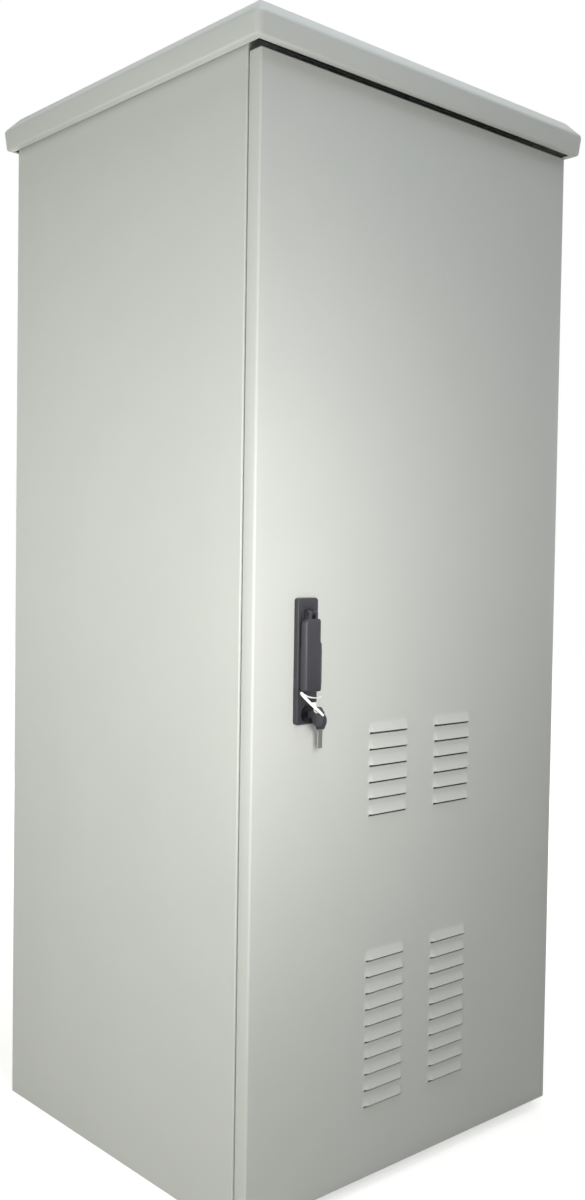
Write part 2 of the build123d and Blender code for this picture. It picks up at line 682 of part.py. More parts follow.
def handle_plate():
    """Back plate of the swing handle, flat on the door."""
    height = HANDLE_TOP - HANDLE_BOTTOM
    outline = RectangleRounded(HANDLE_WIDTH, height, HANDLE_CORNER_R)
    plate = along_y(outline, DOOR_FRONT - HANDLE_PLATE, DOOR_FRONT, HANDLE_X, HANDLE_MIDDLE)
    plate -= round_y(HANDLE_X, SPINDLE_Z, SPINDLE_R + RUN, DOOR_FRONT - HANDLE_PLATE - 1, DOOR_FRONT + 1)
    return plate - round_y(HANDLE_X, LOCK_Z, BARREL_R + FIT, DOOR_FRONT - HANDLE_PLATE - 1, DOOR_FRONT + 1)


def handle_base():
    """Moulded frame of the swing handle on its plate, open under the lever for the fingers."""
    height = HANDLE_TOP - HANDLE_BOTTOM
    face = DOOR_FRONT - HANDLE_PROUD
    back = DOOR_FRONT - HANDLE_PLATE
    outline = RectangleRounded(HANDLE_WIDTH, height, HANDLE_CORNER_R)
    base = along_y(outline, face, back, HANDLE_X, HANDLE_MIDDLE)
    base = chamfer(base.faces().sort_by(Axis.Y)[0].edges(), 1.2)
    low = LEVER_TIP_Z + RECESS_ABOVE_TIP
    high = SPINDLE_Z - SPINDLE_R - RECESS_BELOW_SPINDLE
    recess = RectangleRounded(HANDLE_WIDTH - 2 * RECESS_WALL, high - low, 5)
    base -= along_y(recess, face - 1, back + 1, HANDLE_X, (low + high) / 2)
    base -= round_y(HANDLE_X, SPINDLE_Z, SPINDLE_R + RUN, face - 1, back + 1)
    return base - round_y(HANDLE_X, LOCK_Z, BARREL_R + FIT, face - 1, back + 1)


def handle_nuts():
    """Studs of the handle's plate with their nuts behind the door, and the nut of the lock's barrel."""
    stud = along_y(Circle(STUD_R), DOOR_FRONT, SKIN_BACK + 8)
    stud += along_y(hexagon(10), SKIN_BACK, SKIN_BACK + 5)
    nuts = [Pos(HANDLE_X, 0, z) * stud for z in stud_heights()]
    large = hexagon(26) - Circle(BARREL_R + FIT)
    return nuts + [along_y(large, SKIN_BACK, SKIN_BACK + 5, HANDLE_X, LOCK_Z)]


def spindle():
    """Spindle with a tongue for the lever outside and a square for the pinion inside."""
    top = DOOR_FRONT - HANDLE_PROUD - 0.2
    body = round_y(HANDLE_X, SPINDLE_Z, SPINDLE_R, top, PINION_FRONT - 0.5)
    half = TONGUE / 2
    tongue = (HANDLE_X - half, HANDLE_X + half, lever_y(LEVER_PIVOT), top + 1)
    body += block(*tongue, SPINDLE_Z - 5, SPINDLE_Z + 5)
    body += round_x(lever_y(LEVER_PIVOT), SPINDLE_Z, 5, HANDLE_X - half, HANDLE_X + half)
    body -= round_x(lever_y(LEVER_PIVOT), SPINDLE_Z, 1.55, HANDLE_X - half - 1, HANDLE_X + half + 1)
    square = along_y(Rectangle(8, 8), PINION_FRONT - 1, PINION_BACK, HANDLE_X, SPINDLE_Z)
    return body + square + round_y(HANDLE_X, SPINDLE_Z, 4, PINION_BACK - 1, GEARBOX_BACK - 0.5)


def lever_y(proud):
    """Place in Y of a height above the door's outer face."""
    return DOOR_FRONT - proud


def lever_pin():
    """Cross pin of the lever."""
    half = LEVER_NECK / 2
    return round_x(lever_y(LEVER_PIVOT), SPINDLE_Z, 1.5, HANDLE_X - half, HANDLE_X + half)


def lever():
    """Lever with a broad grip and a forked neck, clear of the base all along."""
    under = LEVER_PIVOT - LEVER_EYE_R
    front = LEVER_PIVOT + LEVER_EYE_R
    z = SPINDLE_Z
    tip = LEVER_TIP_Z
    points = [
        (lever_y(under), tip),
        (lever_y(under), z + LEVER_EYE_R),
        (lever_y(front), z + LEVER_EYE_R),
        (lever_y(front), z - 10),
        (lever_y(15.5), z - 30),
        (lever_y(LEVER_PROUD), z - 46),
        (lever_y(LEVER_PROUD), tip + 10),
        (lever_y(15.5), tip),
    ]
    radii = [1, LEVER_EYE_R - 0.01, LEVER_EYE_R - 0.01, 3, 8, 6, 6, 2.5]
    side = make_face(FilletPolyline(*points, radius=radii, close=True))
    grip = LEVER_WIDTH / 2
    neck = LEVER_NECK / 2
    outline = [(-grip, tip), (grip, tip), (grip, z - 48), (neck, z - 32), (neck, z + LEVER_EYE_R)]
    outline += [(-neck, z + LEVER_EYE_R), (-neck, z - 32), (-grip, z - 48)]
    rounds = [4, 4, 5, 5, 0, 0, 5, 5]
    plan = make_face(FilletPolyline(*outline, radius=rounds, close=True))
    body = along_x(side, HANDLE_X - grip, HANDLE_X + grip)
    body &= along_y(plan, lever_y(LEVER_PROUD + 2), DOOR_FRONT, HANDLE_X)
    half = TONGUE / 2 + 0.3
    body -= block(HANDLE_X - half, HANDLE_X + half, lever_y(30), DOOR_FRONT, z - 13, z + 10)
    return body - round_x(lever_y(LEVER_PIVOT), z, 1.52, HANDLE_X - neck - 1, HANDLE_X + neck + 1)


def polar(radius, angle):
    """Point at a radius and an angle in radians."""
    return (radius * math.cos(angle), radius * math.sin(angle))


def pinion_outline():
    """Outline of the pinion, each flank an arc through three points of its involute."""
    base = PITCH_R * math.cos(PRESSURE)
    tip = PITCH_R + ADDENDUM
    root = PITCH_R - DEDENDUM
    half = (math.pi * MODULE / 2 - BACKLASH) / 2 / PITCH_R + math.tan(PRESSURE) - PRESSURE

    def flank(radius):
        """Half angle of a tooth at a radius."""
        roll = math.sqrt(max(radius * radius / base / base - 1, 0))
        return half - roll + math.atan(roll)

    lines = []
    step = 2 * math.pi / TEETH
    for tooth in range(TEETH):
        a = tooth * step
        radii = (base, (base + tip) / 2, tip)
        rising = [polar(r, a - flank(r)) for r in radii]
        falling = [polar(r, a + flank(r)) for r in reversed(radii)]
        foot = polar(root, a - flank(base))
        heel = polar(root, a + flank(base))
        lines += [Line(foot, rising[0]), ThreePointArc(*rising), Line(rising[-1], falling[0])]
        lines += [ThreePointArc(*falling), Line(falling[-1], heel)]
        lines.append(Line(heel, polar(root, a + step - flank(base))))
    return make_face(Curve() + lines)


def pinion():
    """Pinion on the spindle's square."""
    gear = pinion_outline() - Rectangle(8.1, 8.1)
    return along_y(gear, PINION_FRONT, PINION_BACK, HANDLE_X, SPINDLE_Z)


def bolt_middle(side):
    """X of the middle of a bolt's bar; side is 1 for the upper bolt, left of the pinion."""
    return HANDLE_X - side * (ROD_OUTER - ROD_WIDTH / 2)


def bolt_rod(side):
    """Sliding bolt with a rack beside the pinion; side is 1 for the upper one and -1 for the lower."""
    outer = ROD_OUTER
    inner = ROD_INNER
    edge = OPENING_TOP if side > 0 else OPENING_BOTTOM
    end = edge - side * (KEEPER_TIP + BOLT_GAP)
    start = SPINDLE_Z + side * (GEARBOX_HALF_HEIGHT + TRAVEL + 2)
    tail = SPINDLE_Z - side * ROD_TAIL

    def place(distance):
        """X at a distance from the spindle, on the bolt's own side."""
        return HANDLE_X - side * distance

    nose = ROD_NOSE
    points = [
        (place(outer), tail),
        (place(inner), tail),
        (place(inner), start),
        (place(outer - ROD_WIDTH), start),
        (place(outer - ROD_WIDTH), end - side * nose),
        (place(outer - ROD_WIDTH + nose), end),
        (place(outer - nose), end),
        (place(outer), end - side * nose),
    ]
    bar = make_face(Polyline(*points, close=True))
    pitch = math.pi * MODULE
    half = (pitch / 2 - BACKLASH) / 2
    tip_half = half - ADDENDUM * math.tan(PRESSURE)
    root_half = half + DEDENDUM * math.tan(PRESSURE)
    count = math.ceil(TRAVEL / pitch) + 3
    for index in range(count):
        z = SPINDLE_Z + side * (index - 1.5) * pitch
        tooth = [
            (place(inner + 0.5), z - root_half),
            (place(inner), z - root_half),
            (place(PITCH_R - ADDENDUM), z - tip_half),
            (place(PITCH_R - ADDENDUM), z + tip_half),
            (place(inner), z + root_half),
            (place(inner + 0.5), z + root_half),
        ]
        bar += make_face(Polyline(*tooth, close=True))
    return along_y(bar, ROD_FRONT, ROD_BACK)


def gearbox():
    """Housing over the pinion, open above and below where the bolts slide through."""
    outer = ROD_OUTER + ROD_GAP
    wide = GEARBOX_HALF_WIDTH
    half = GEARBOX_HALF_HEIGHT
    x = HANDLE_X
    z = SPINDLE_Z
    body = block(x - wide, x + wide, SKIN_BACK, GEARBOX_BACK, z - half, z + half)
    inner = PITCH_R - ADDENDUM - ROD_GAP
    for side in (-1, 1):
        channel = (x + side * inner, x + side * outer)
        body -= block(*channel, ROD_FRONT - ROD_GAP, ROD_BACK + ROD_GAP, z - half - 1, z + half + 1)
    body -= round_y(x, z, PITCH_R + ADDENDUM + 0.8, PINION_FRONT - ROD_GAP, PINION_BACK + ROD_GAP)
    body -= round_y(x, z, SPINDLE_R + RUN, SKIN_BACK - 1, PINION_FRONT)
    return body - round_y(x, z, 4 + RUN, PINION_BACK - 1, GEARBOX_BACK + 1)


def rod_guides():
    """Bridges on the back of the door that guide the bolts, at each bolt's end and halfway to the gearbox."""
    guides = []
    for side, edge in ((1, OPENING_TOP), (-1, OPENING_BOTTOM)):
        middle = bolt_middle(side)
        half = ROD_WIDTH / 2 + ROD_GAP
        wide = half + GUIDE_WALL
        far = edge - side * GUIDE_FROM_END
        near = (far + SPINDLE_Z + side * GEARBOX_HALF_HEIGHT) / 2
        for z in (near, far):
            low, high = z - GUIDE_HALF, z + GUIDE_HALF
            bridge = block(middle - wide, middle + wide, SKIN_BACK, ROD_BACK + 3.5, low, high)
            slot = (ROD_FRONT - ROD_GAP, ROD_BACK + ROD_GAP, low - 1, high + 1)
            guides.append(bridge - block(middle - half, middle + half, *slot))
    return guides


def lock_barrel():
    """Fixed barrel of the cylinder lock with its collar on the base and a nut behind the door."""
    body = round_y(HANDLE_X, LOCK_Z, BARREL_R, lever_y(HANDLE_PROUD), ROD_FRONT - ROD_GAP)
    collar = round_y(HANDLE_X, LOCK_Z, BARREL_R + 2, lever_y(BARREL_PROUD), lever_y(HANDLE_PROUD))
    body += collar
    return body - round_y(HANDLE_X, LOCK_Z, PLUG_R + RUN, lever_y(30), SKIN_BACK + 20)


def lock_plug():
    """Turning plug with a slot for the key."""
    body = round_y(HANDLE_X, LOCK_Z, PLUG_R, lever_y(BARREL_PROUD) - 0.5, ROD_FRONT - ROD_GAP)
    slot = (HANDLE_X - 1.3, HANDLE_X + 1.3, lever_y(BARREL_PROUD + 2), SKIN_BACK)
    return body - block(*slot, LOCK_Z - 4.3, LOCK_Z + 4.3)


def key_in_lock():
    """Key with its blade in the plug and a faceted bow outside."""
    blade = (HANDLE_X - 1.1, HANDLE_X + 1.1, lever_y(KEY_BOW_START + 2), SKIN_BACK - 1)
    body = block(*blade, LOCK_Z - 4, LOCK_Z + 4)
    low, high = KEY_BOW_START, KEY_BOW_END
    points = [
        (lever_y(low), LOCK_Z - 6),
        (lever_y(low), LOCK_Z + 6),
        (lever_y(low + 6), LOCK_Z + 12),
        (lever_y(high - 6), LOCK_Z + 12),
        (lever_y(high), LOCK_Z + 6),
        (lever_y(high), LOCK_Z - 8),
        (lever_y(high - 6), LOCK_Z - 14),
        (lever_y(low + 6), LOCK_Z - 14),
    ]
    bow = make_face(Polyline(*points, close=True)) - Pos(lever_y(31), LOCK_Z + 6) * Circle(KEY_HOLE_R)
    return body + along_x(bow, HANDLE_X - KEY_THICK / 2, HANDLE_X + KEY_THICK / 2)


def spare_key():
    """Second key, hanging from the strap beside the lock."""
    x = HANDLE_X + SPARE_X
    z = LOCK_Z + SPARE_HOLE_Z
    plate = Pos(0, -5) * RectangleRounded(19, 21, 5) + Pos(0, -27) * Rectangle(8, 26)
    plate -= Circle(KEY_HOLE_R)
    return along_y(plate, lever_y(SPARE_PROUD + 1), lever_y(SPARE_PROUD - 1), x, z)


def key_strap():
    """Moulded strap through the bows of both keys, closed by its head."""
    spare_z = SPARE_HOLE_Z
    route = [
        (-7, 29, 12),
        (-6.5, 31, 4.6),
        (6, 31, 4.6),
        (16, 25, 0),
        (SPARE_X + 0.5, 18, spare_z + 1.5),
        (SPARE_X - 0.5, 11.5, spare_z + 1.5),
        (12, 13, 6),
        (3, 22, 16.5),
        (-5, 29, 16.5),
    ]
    points = [(HANDLE_X + x, lever_y(p), LOCK_Z + z) for x, p, z in route]
    path = FilletPolyline(*points, radius=1.8)
    section = Plane(origin=path @ 0, z_dir=path % 0) * Rectangle(STRAP[0], STRAP[1])
    strap = sweep(section, path=path)
    head = Pos(HANDLE_X - 7, lever_y(29), LOCK_Z + 15) * Box(5, 4, 6)
    return strap + head


def save(name, shape):
    """Write one piece, or several loose ones together, to its own file."""
    solids = shape if isinstance(shape, list) else [shape]
    solids = [solid for piece in solids for solid in piece.solids()]
    whole = solids[0] if len(solids) == 1 else Compound(children=solids)
    export_step(whole, f"parts/{name}.step")


def main():
    """Build every piece and write it under its own name."""
    os.makedirs("parts", exist_ok=True)
    upper = (UPPER_LOUVRE_BASE, UPPER_LOUVRE_ROWS)
    lower = (LOWER_LOUVRE_BASE, LOWER_LOUVRE_ROWS)
    bar, feet = earth_bar()
    pieces = {
        "base_frame": base_frame(),
        "floor_plate": floor_plate(),
        "gland_plate": gland_plate(),
        "cable_seal": cable_seal(),
        "front_frame": front_frame(),
        "keeper_upper": keeper(1),
        "keeper_lower": keeper(-1),
        "rear_panel": rear_panel(),
        "top_plate": top_plate(),
        "vent_screens": vent_screens(),
        "roof_cap": roof_cap(),
        "roof_brackets": roof_brackets(),
        "rail_beams": rail_beams(),
        "earth_bar": bar,
        "earth_bar_feet": feet,
        "door_skin": door_skin(),
        "stiffener_left": stiffener(LEFT_HAT_X),
        "stiffener_right": stiffener(RIGHT_HAT_X),
        "door_gasket": door_gasket(),
        "filter_cover_upper": filter_cover(*upper),
        "filter_cover_lower": filter_cover(*lower),
        "filter_mat_upper": filter_mat(*upper),
        "filter_mat_lower": filter_mat(*lower),
        "handle_plate": handle_plate(),
        "handle_base": handle_base(),
        "handle_nuts": handle_nuts(),
        "gearbox": gearbox(),
        "rod_guides": rod_guides(),
        "lock_barrel": lock_barrel(),
        "spindle": spindle(),
        "pinion": pinion(),
        "lever_pin": lever_pin(),
        "lever": lever(),
        "bolt_rod_upper": bolt_rod(1),
        "bolt_rod_lower": bolt_rod(-1),
        "lock_plug": lock_plug(),
        "key_in_lock": key_in_lock(),
        "spare_key": spare_key(),
        "key_strap": key_strap(),
    }
    paired = {
        "side_panel": side_panel(),
        "rear_post": rear_post(),
        "front_rail": rail(FRONT_RAIL_Y, square_holes()),
        "rear_rail": rail(REAR_RAIL_Y, rear_slots()),
    }
    for name, piece in paired.items():
        right, left = both_sides(piece)
        pieces[f"{name}_right"] = right
        pieces[f"{name}_left"] = left
    for number, z in enumerate(CROSSBAR_Z, 1):
        pieces[f"crossbar_{number}"] = crossbar(z)
    for number, z in enumerate(HINGE_Z, 1):
        pieces[f"hinge_frame_leaf_{number}"] = hinge_frame_leaf(z)
        pieces[f"hinge_door_leaf_{number}"] = hinge_door_leaf(z)
    for name, piece in pieces.items():
        save(name, piece)


main()
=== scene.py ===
# %% [markdown]
# # Outdoor equipment cabinet
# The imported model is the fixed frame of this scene: it gives every sub-part at its real place and size, in metres,
# with +Z up and the door facing -Y. The cells below add a camera, light, finishes, and the surfaces that a plain
# solid can't show: pressed louvres, rolled edges, moulded grips and small fasteners.

# %% Frame
import json

import bmesh
import bpy
import numpy as np
from mathutils import Matrix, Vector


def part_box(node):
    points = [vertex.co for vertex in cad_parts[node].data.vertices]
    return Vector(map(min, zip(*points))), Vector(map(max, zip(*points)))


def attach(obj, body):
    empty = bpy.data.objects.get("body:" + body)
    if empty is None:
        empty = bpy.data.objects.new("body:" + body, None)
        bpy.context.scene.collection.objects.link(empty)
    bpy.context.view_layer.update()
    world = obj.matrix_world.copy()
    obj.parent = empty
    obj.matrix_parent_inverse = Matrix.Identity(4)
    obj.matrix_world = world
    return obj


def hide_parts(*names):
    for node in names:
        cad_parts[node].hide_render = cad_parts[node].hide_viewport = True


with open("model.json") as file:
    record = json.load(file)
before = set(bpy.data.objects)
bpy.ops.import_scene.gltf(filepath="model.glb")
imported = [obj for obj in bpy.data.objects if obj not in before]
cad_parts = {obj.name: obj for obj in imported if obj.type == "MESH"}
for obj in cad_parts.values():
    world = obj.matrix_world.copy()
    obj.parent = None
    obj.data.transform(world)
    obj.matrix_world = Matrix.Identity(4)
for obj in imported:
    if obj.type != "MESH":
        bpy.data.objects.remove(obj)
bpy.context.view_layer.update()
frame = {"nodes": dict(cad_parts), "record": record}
nodes = frame["nodes"]
slot_of = {part["node"]: part["material_slot"] for part in frame["record"]["subparts"]}
body_of = {name: body for body, names in frame["record"]["behaviour"]["bodies"].items() for name in names}
MM = 0.001

# %% [markdown]
# ## Camera
# The photograph was taken from off the cabinet's front left corner, about 40 degrees round from the door's front
# and close enough for a strong perspective. The camera could be aimed with a Track To constraint, but a hand-held
# camera also rolls a little, so its three axes are written as a matrix from yaw, pitch and roll.

# %% Camera
CAMERA_PLACE = (-1.36265, -1.55921, 0.91572)
YAW, PITCH, ROLL = 0.73051, 0.03586, 0.01507
FOCAL_PIXELS, FRAME_HEIGHT = 1237.8, 1200.0
SENSOR = 36.0

forward = np.array([np.sin(YAW) * np.cos(PITCH), np.cos(YAW) * np.cos(PITCH), -np.sin(PITCH)])
level = np.array([np.cos(YAW), -np.sin(YAW), 0.0])
upright = np.cross(level, forward)
right = np.cos(ROLL) * level + np.sin(ROLL) * upright
up = np.cos(ROLL) * upright - np.sin(ROLL) * level

camera = bpy.data.objects.new("camera", bpy.data.cameras.new("camera"))
camera.data.sensor_fit = "VERTICAL"
camera.data.sensor_height = SENSOR
camera.data.lens = FOCAL_PIXELS / FRAME_HEIGHT * SENSOR
placed = np.eye(4)
placed[:3, 0], placed[:3, 1], placed[:3, 2] = right, up, -forward
placed[:3, 3] = CAMERA_PLACE
camera.matrix_world = Matrix(placed.tolist())
bpy.context.scene.collection.objects.link(camera)
bpy.context.scene.camera = camera
print("lens", round(camera.data.lens, 2), "mm, camera at", CAMERA_PLACE)

# %% [markdown]
# ## Small tools for surfaces
# Most new pieces are sheets of points. Blender could make them with primitives and loop cuts; here a function of two
# parameters fills a whole array at once, which keeps each shape's formula in one place. After the modifiers have
# done their work the mesh is stored as it is, with hard edges only where the surface really turns sharply.


# %% Points to a mesh
WELD = 2e-6


def new_object(name, mesh):
    """Object of a mesh, linked to the scene at the origin."""
    piece = bpy.data.objects.new(name, mesh)
    bpy.context.scene.collection.objects.link(piece)
    return piece


def sheet_mesh(name, points, wrap=False, keep=None):
    """Mesh of a grid of points, rows by columns by three: each cell is a quad.

    The last column meets the first if the sheet wraps, and keep says which cells get their face.
    """
    rows, columns = points.shape[:2]
    index = np.arange(rows * columns).reshape(rows, columns)
    if wrap:
        index = np.concatenate([index, index[:, :1]], axis=1)
    quads = np.stack([index[:-1, :-1], index[:-1, 1:], index[1:, 1:], index[1:, :-1]], axis=-1)
    quads = quads[keep] if keep is not None else quads.reshape(-1, 4)
    mesh = bpy.data.meshes.new(name)
    mesh.from_pydata(points.reshape(-1, 3).tolist(), [], quads.reshape(-1, 4).tolist())
    return mesh


def tidy_mesh(mesh, flat_angle=None, outward=False):
    """Merge doubles, join coplanar faces if asked, drop loose points, and turn a closed shell's faces outwards."""
    work = bmesh.new()
    work.from_mesh(mesh)
    bmesh.ops.remove_doubles(work, verts=work.verts, dist=WELD)
    if flat_angle is not None:
        limit = np.radians(flat_angle)
        bmesh.ops.dissolve_limit(work, angle_limit=limit, verts=work.verts, edges=work.edges)
    loose = [vertex for vertex in work.verts if not vertex.link_faces]
    bmesh.ops.delete(work, geom=loose, context="VERTS")
    if outward:
        bmesh.ops.recalc_face_normals(work, faces=work.faces)
    work.to_mesh(mesh)
    work.free()
    return mesh


print("points closer than", round(WELD / MM, 4), "mm are merged")


# %% Modifiers and shading
def settle(piece, hard_angle=35.0):
    """Store what the modifiers give, shade it smooth, and keep edges hard above an angle."""
    graph = bpy.context.evaluated_depsgraph_get()
    bpy.context.view_layer.update()
    mesh = bpy.data.meshes.new_from_object(piece.evaluated_get(graph))
    piece.modifiers.clear()
    piece.data = mesh
    mesh.shade_smooth()
    mesh.set_sharp_from_angle(angle=np.radians(hard_angle))
    return piece


def thicken(piece, thickness):
    """Give a sheet its wall, on the inner side of its faces."""
    wall = piece.modifiers.new("wall", "SOLIDIFY")
    wall.thickness = thickness
    wall.offset = -1.0
    wall.use_even_offset = True
    return piece


def soften(piece, width, segments=2, angle=30.0):
    """Round the sharp edges of a piece."""
    bevel = piece.modifiers.new("edge", "BEVEL")
    bevel.width = width
    bevel.segments = segments
    bevel.limit_method = "ANGLE"
    bevel.angle_limit = np.radians(angle)
    bevel.use_clamp_overlap = True
    bevel.miter_outer = "MITER_ARC"
    return piece


# %% Handing a piece over
def finished(piece, body, slot, *replaced):
    """Hand a piece to its body, name its finish, and hide the nodes that it stands for."""
    piece.data.materials.clear()
    piece.data.materials.append(finishes[slot])
    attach(piece, body)
    if replaced:
        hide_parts(*replaced)
    print(piece.name, len(piece.data.polygons), "faces on", body)
    return piece


# %% [markdown]
# ## Effects that several finishes share
# A finish differs from a flat colour in how it varies. Three small node groups give that variation as plain numbers:
# a fine grain that can be moulded texture or the orange peel of powder paint, slow waves as in any large thin sheet,
# and the crystal spangle of zinc. They could be painted images, but noise on object coordinates has no seams.


# %% Node helpers
def group(name, inputs, outputs):
    """Empty shader group with float or vector inputs and float outputs."""
    tree = bpy.data.node_groups.new(name, "ShaderNodeTree")
    for label, kind, value in inputs:
        socket = tree.interface.new_socket(label, in_out="INPUT", socket_type=kind)
        if value is not None:
            socket.default_value = value
    for label in outputs:
        tree.interface.new_socket(label, in_out="OUTPUT", socket_type="NodeSocketFloat")
    return tree, tree.nodes.new("NodeGroupInput"), tree.nodes.new("NodeGroupOutput")


def noise(tree, vector, scale, detail=2.0, roughness=0.5):
    """Noise texture that reads a vector and a scale, each a socket or a number."""
    node = tree.nodes.new("ShaderNodeTexNoise")
    tree.links.new(vector, node.inputs["Vector"])
    if isinstance(scale, (int, float)):
        node.inputs["Scale"].default_value = scale
    else:
        tree.links.new(scale, node.inputs["Scale"])
    node.inputs["Detail"].default_value = detail
    node.inputs["Roughness"].default_value = roughness
    return node.outputs["Fac"]


def math_node(tree, operation, first, second=None, third=None):
    """Math node on sockets or numbers."""
    node = tree.nodes.new("ShaderNodeMath")
    node.operation = operation
    for socket, value in zip(node.inputs, (first, second, third)):
        if value is None:
            continue
        if isinstance(value, (int, float)):
            socket.default_value = value
        else:
            tree.links.new(value, socket)
    return node.outputs[0]


# %% Grain, wave and spangle groups
FLOAT, VECTOR = "NodeSocketFloat", "NodeSocketVector"
MOTTLE_SCALE = 9.0

grain, inside, outside = group(
    "surface_grain",
    [("Vector", VECTOR, None), ("Fine", FLOAT, 1800.0), ("Coarse", FLOAT, 420.0), ("Blend", FLOAT, 0.5)],
    ["Height", "Mottle"],
)
fine = noise(grain, inside.outputs["Vector"], inside.outputs["Fine"], 2.0)
coarse = noise(grain, inside.outputs["Vector"], inside.outputs["Coarse"], 1.0)
share = math_node(grain, "MULTIPLY", fine, math_node(grain, "SUBTRACT", 1.0, inside.outputs["Blend"]))
height = math_node(grain, "ADD", share, math_node(grain, "MULTIPLY", coarse, inside.outputs["Blend"]))
grain.links.new(height, outside.inputs["Height"])
mottle = noise(grain, inside.outputs["Vector"], MOTTLE_SCALE, detail=3.0, roughness=0.6)
grain.links.new(mottle, outside.inputs["Mottle"])

wave, inside, outside = group("sheet_wave", [("Vector", VECTOR, None), ("Scale", FLOAT, 2.2)], ["Height"])
wave.links.new(noise(wave, inside.outputs["Vector"], inside.outputs["Scale"], 1.0), outside.inputs["Height"])

crystal_inputs = [("Vector", VECTOR, None), ("Scale", FLOAT, 90.0)]
spangle, inside, outside = group("zinc_spangle", crystal_inputs, ["Crystal"])
cells = spangle.nodes.new("ShaderNodeTexVoronoi")
spangle.links.new(inside.outputs["Vector"], cells.inputs["Vector"])
spangle.links.new(inside.outputs["Scale"], cells.inputs["Scale"])
split = spangle.nodes.new("ShaderNodeSeparateColor")
spangle.links.new(cells.outputs["Color"], split.inputs["Color"])
spangle.links.new(split.outputs["Red"], outside.inputs["Crystal"])
print("groups", [tree.name for tree in bpy.data.node_groups])

# %% [markdown]
# ## Finishes
# Each finish is one material with a single Principled shader. Two tones of its colour are mixed by slow mottling,
# its roughness moves a little about a middle value, and its bump comes from the groups above. Metalness is the
# same all over, so it is set on the shader itself.


# %% Finish builder
def finish(name, tones, roughness, bump, metallic=0.0, fine=1800.0, blend=0.5, waves=0.0, crystal=0.0):
    """Material of two tones, a middle roughness with its spread, and a bump depth in metres.

    Roughness is the middle less the spread, plus twice the spread times the mask; zinc's mask is half its crystals
    and half the slow mottling.
    """
    material = bpy.data.materials.new(name)
    material.use_nodes = True
    tree = material.node_tree
    shader = tree.nodes["Principled BSDF"]
    place = tree.nodes.new("ShaderNodeTexCoord").outputs["Object"]
    texture = tree.nodes.new("ShaderNodeGroup")
    texture.node_tree = grain
    texture.inputs["Fine"].default_value = fine
    texture.inputs["Blend"].default_value = blend
    tree.links.new(place, texture.inputs["Vector"])
    mask = texture.outputs["Mottle"]
    relief = tree.nodes.new("ShaderNodeBump")
    relief.inputs["Strength"].default_value = 1.0
    relief.inputs["Distance"].default_value = bump
    tree.links.new(texture.outputs["Height"], relief.inputs["Height"])
    if waves:
        slow = tree.nodes.new("ShaderNodeGroup")
        slow.node_tree = wave
        tree.links.new(place, slow.inputs["Vector"])
        bend = tree.nodes.new("ShaderNodeBump")
        bend.inputs["Strength"].default_value = 1.0
        bend.inputs["Distance"].default_value = waves
        tree.links.new(slow.outputs["Height"], bend.inputs["Height"])
        tree.links.new(bend.outputs["Normal"], relief.inputs["Normal"])
    if crystal:
        flakes = tree.nodes.new("ShaderNodeGroup")
        flakes.node_tree = spangle
        flakes.inputs["Scale"].default_value = crystal
        tree.links.new(place, flakes.inputs["Vector"])
        half_mottle = math_node(tree, "MULTIPLY", mask, 0.5)
        mask = math_node(tree, "MULTIPLY_ADD", flakes.outputs["Crystal"], 0.5, half_mottle)
    tree.links.new(relief.outputs["Normal"], shader.inputs["Normal"])
    tone = tree.nodes.new("ShaderNodeMix")
    tone.data_type = "RGBA"
    tone.inputs["A"].default_value = (*tones[0], 1.0)
    tone.inputs["B"].default_value = (*tones[1], 1.0)
    tree.links.new(mask, tone.inputs["Factor"])
    tree.links.new(tone.outputs["Result"], shader.inputs["Base Color"])
    middle, spread = roughness
    spread_socket = math_node(tree, "MULTIPLY_ADD", mask, 2 * spread, middle - spread)
    tree.links.new(spread_socket, shader.inputs["Roughness"])
    shader.inputs["Metallic"].default_value = metallic
    return material


# %% [markdown]
# The sheet metal has a light grey powder coat, satin and very slightly textured. Zinc plate covers the inner frame
# and the mechanism. The handle, lever and key bow are black moulded plastic with a fine spark grain. The rest are
# foam, rubber, fleece, bare copper, a moulded insulator, nickel and natural nylon. Four small pieces of the handle and
# lock are blackened instead of bright: no bright metal is seen there on the real one, and the black is also painted
# shade, standing in for the shade of the recess round the pivot and the lock.

# %% Finishes
finishes = {
    "painted_sheet": finish(
        "painted_sheet", [(0.585, 0.600, 0.575), (0.615, 0.628, 0.600)], (0.44, 0.03), 0.00004,
        waves=0.0012, blend=0.7,
    ),
    "zinc": finish(
        "zinc", [(0.50, 0.52, 0.54), (0.64, 0.65, 0.66)], (0.38, 0.08), 0.00002, 1.0, fine=2600.0, crystal=110.0
    ),
    "dark_plastic": finish(
        "dark_plastic", [(0.030, 0.030, 0.037), (0.045, 0.044, 0.053)], (0.46, 0.05), 0.00005, fine=3200.0, blend=0.2
    ),
    "foam": finish(
        "foam", [(0.018, 0.018, 0.019), (0.03, 0.03, 0.031)], (0.92, 0.04), 0.0003, fine=1400.0, blend=0.3
    ),
    "rubber": finish("rubber", [(0.02, 0.02, 0.02), (0.032, 0.032, 0.031)], (0.72, 0.05), 0.0001, fine=2200.0),
    # Painted shade: the fleece is dark grey so that the louvre slots in front of it read as dark lines, in place of
    # the shade inside them.
    "filter_fleece": finish(
        "filter_fleece", [(0.05, 0.05, 0.05), (0.10, 0.10, 0.10)], (0.97, 0.02), 0.0008, fine=900.0, blend=0.6
    ),
    "copper": finish("copper", [(0.62, 0.30, 0.19), (0.78, 0.42, 0.28)], (0.36, 0.08), 0.00002, 1.0, fine=2400.0),
    "insulator": finish("insulator", [(0.34, 0.05, 0.03), (0.46, 0.08, 0.05)], (0.4, 0.04), 0.00004, fine=2400.0),
    "nickel": finish("nickel", [(0.60, 0.585, 0.56), (0.72, 0.70, 0.67)], (0.26, 0.06), 0.00002, 1.0, fine=3000.0),
    "white_plastic": finish(
        "white_plastic", [(0.78, 0.78, 0.75), (0.86, 0.86, 0.83)], (0.36, 0.04), 0.00003, fine=2600.0
    ),
}
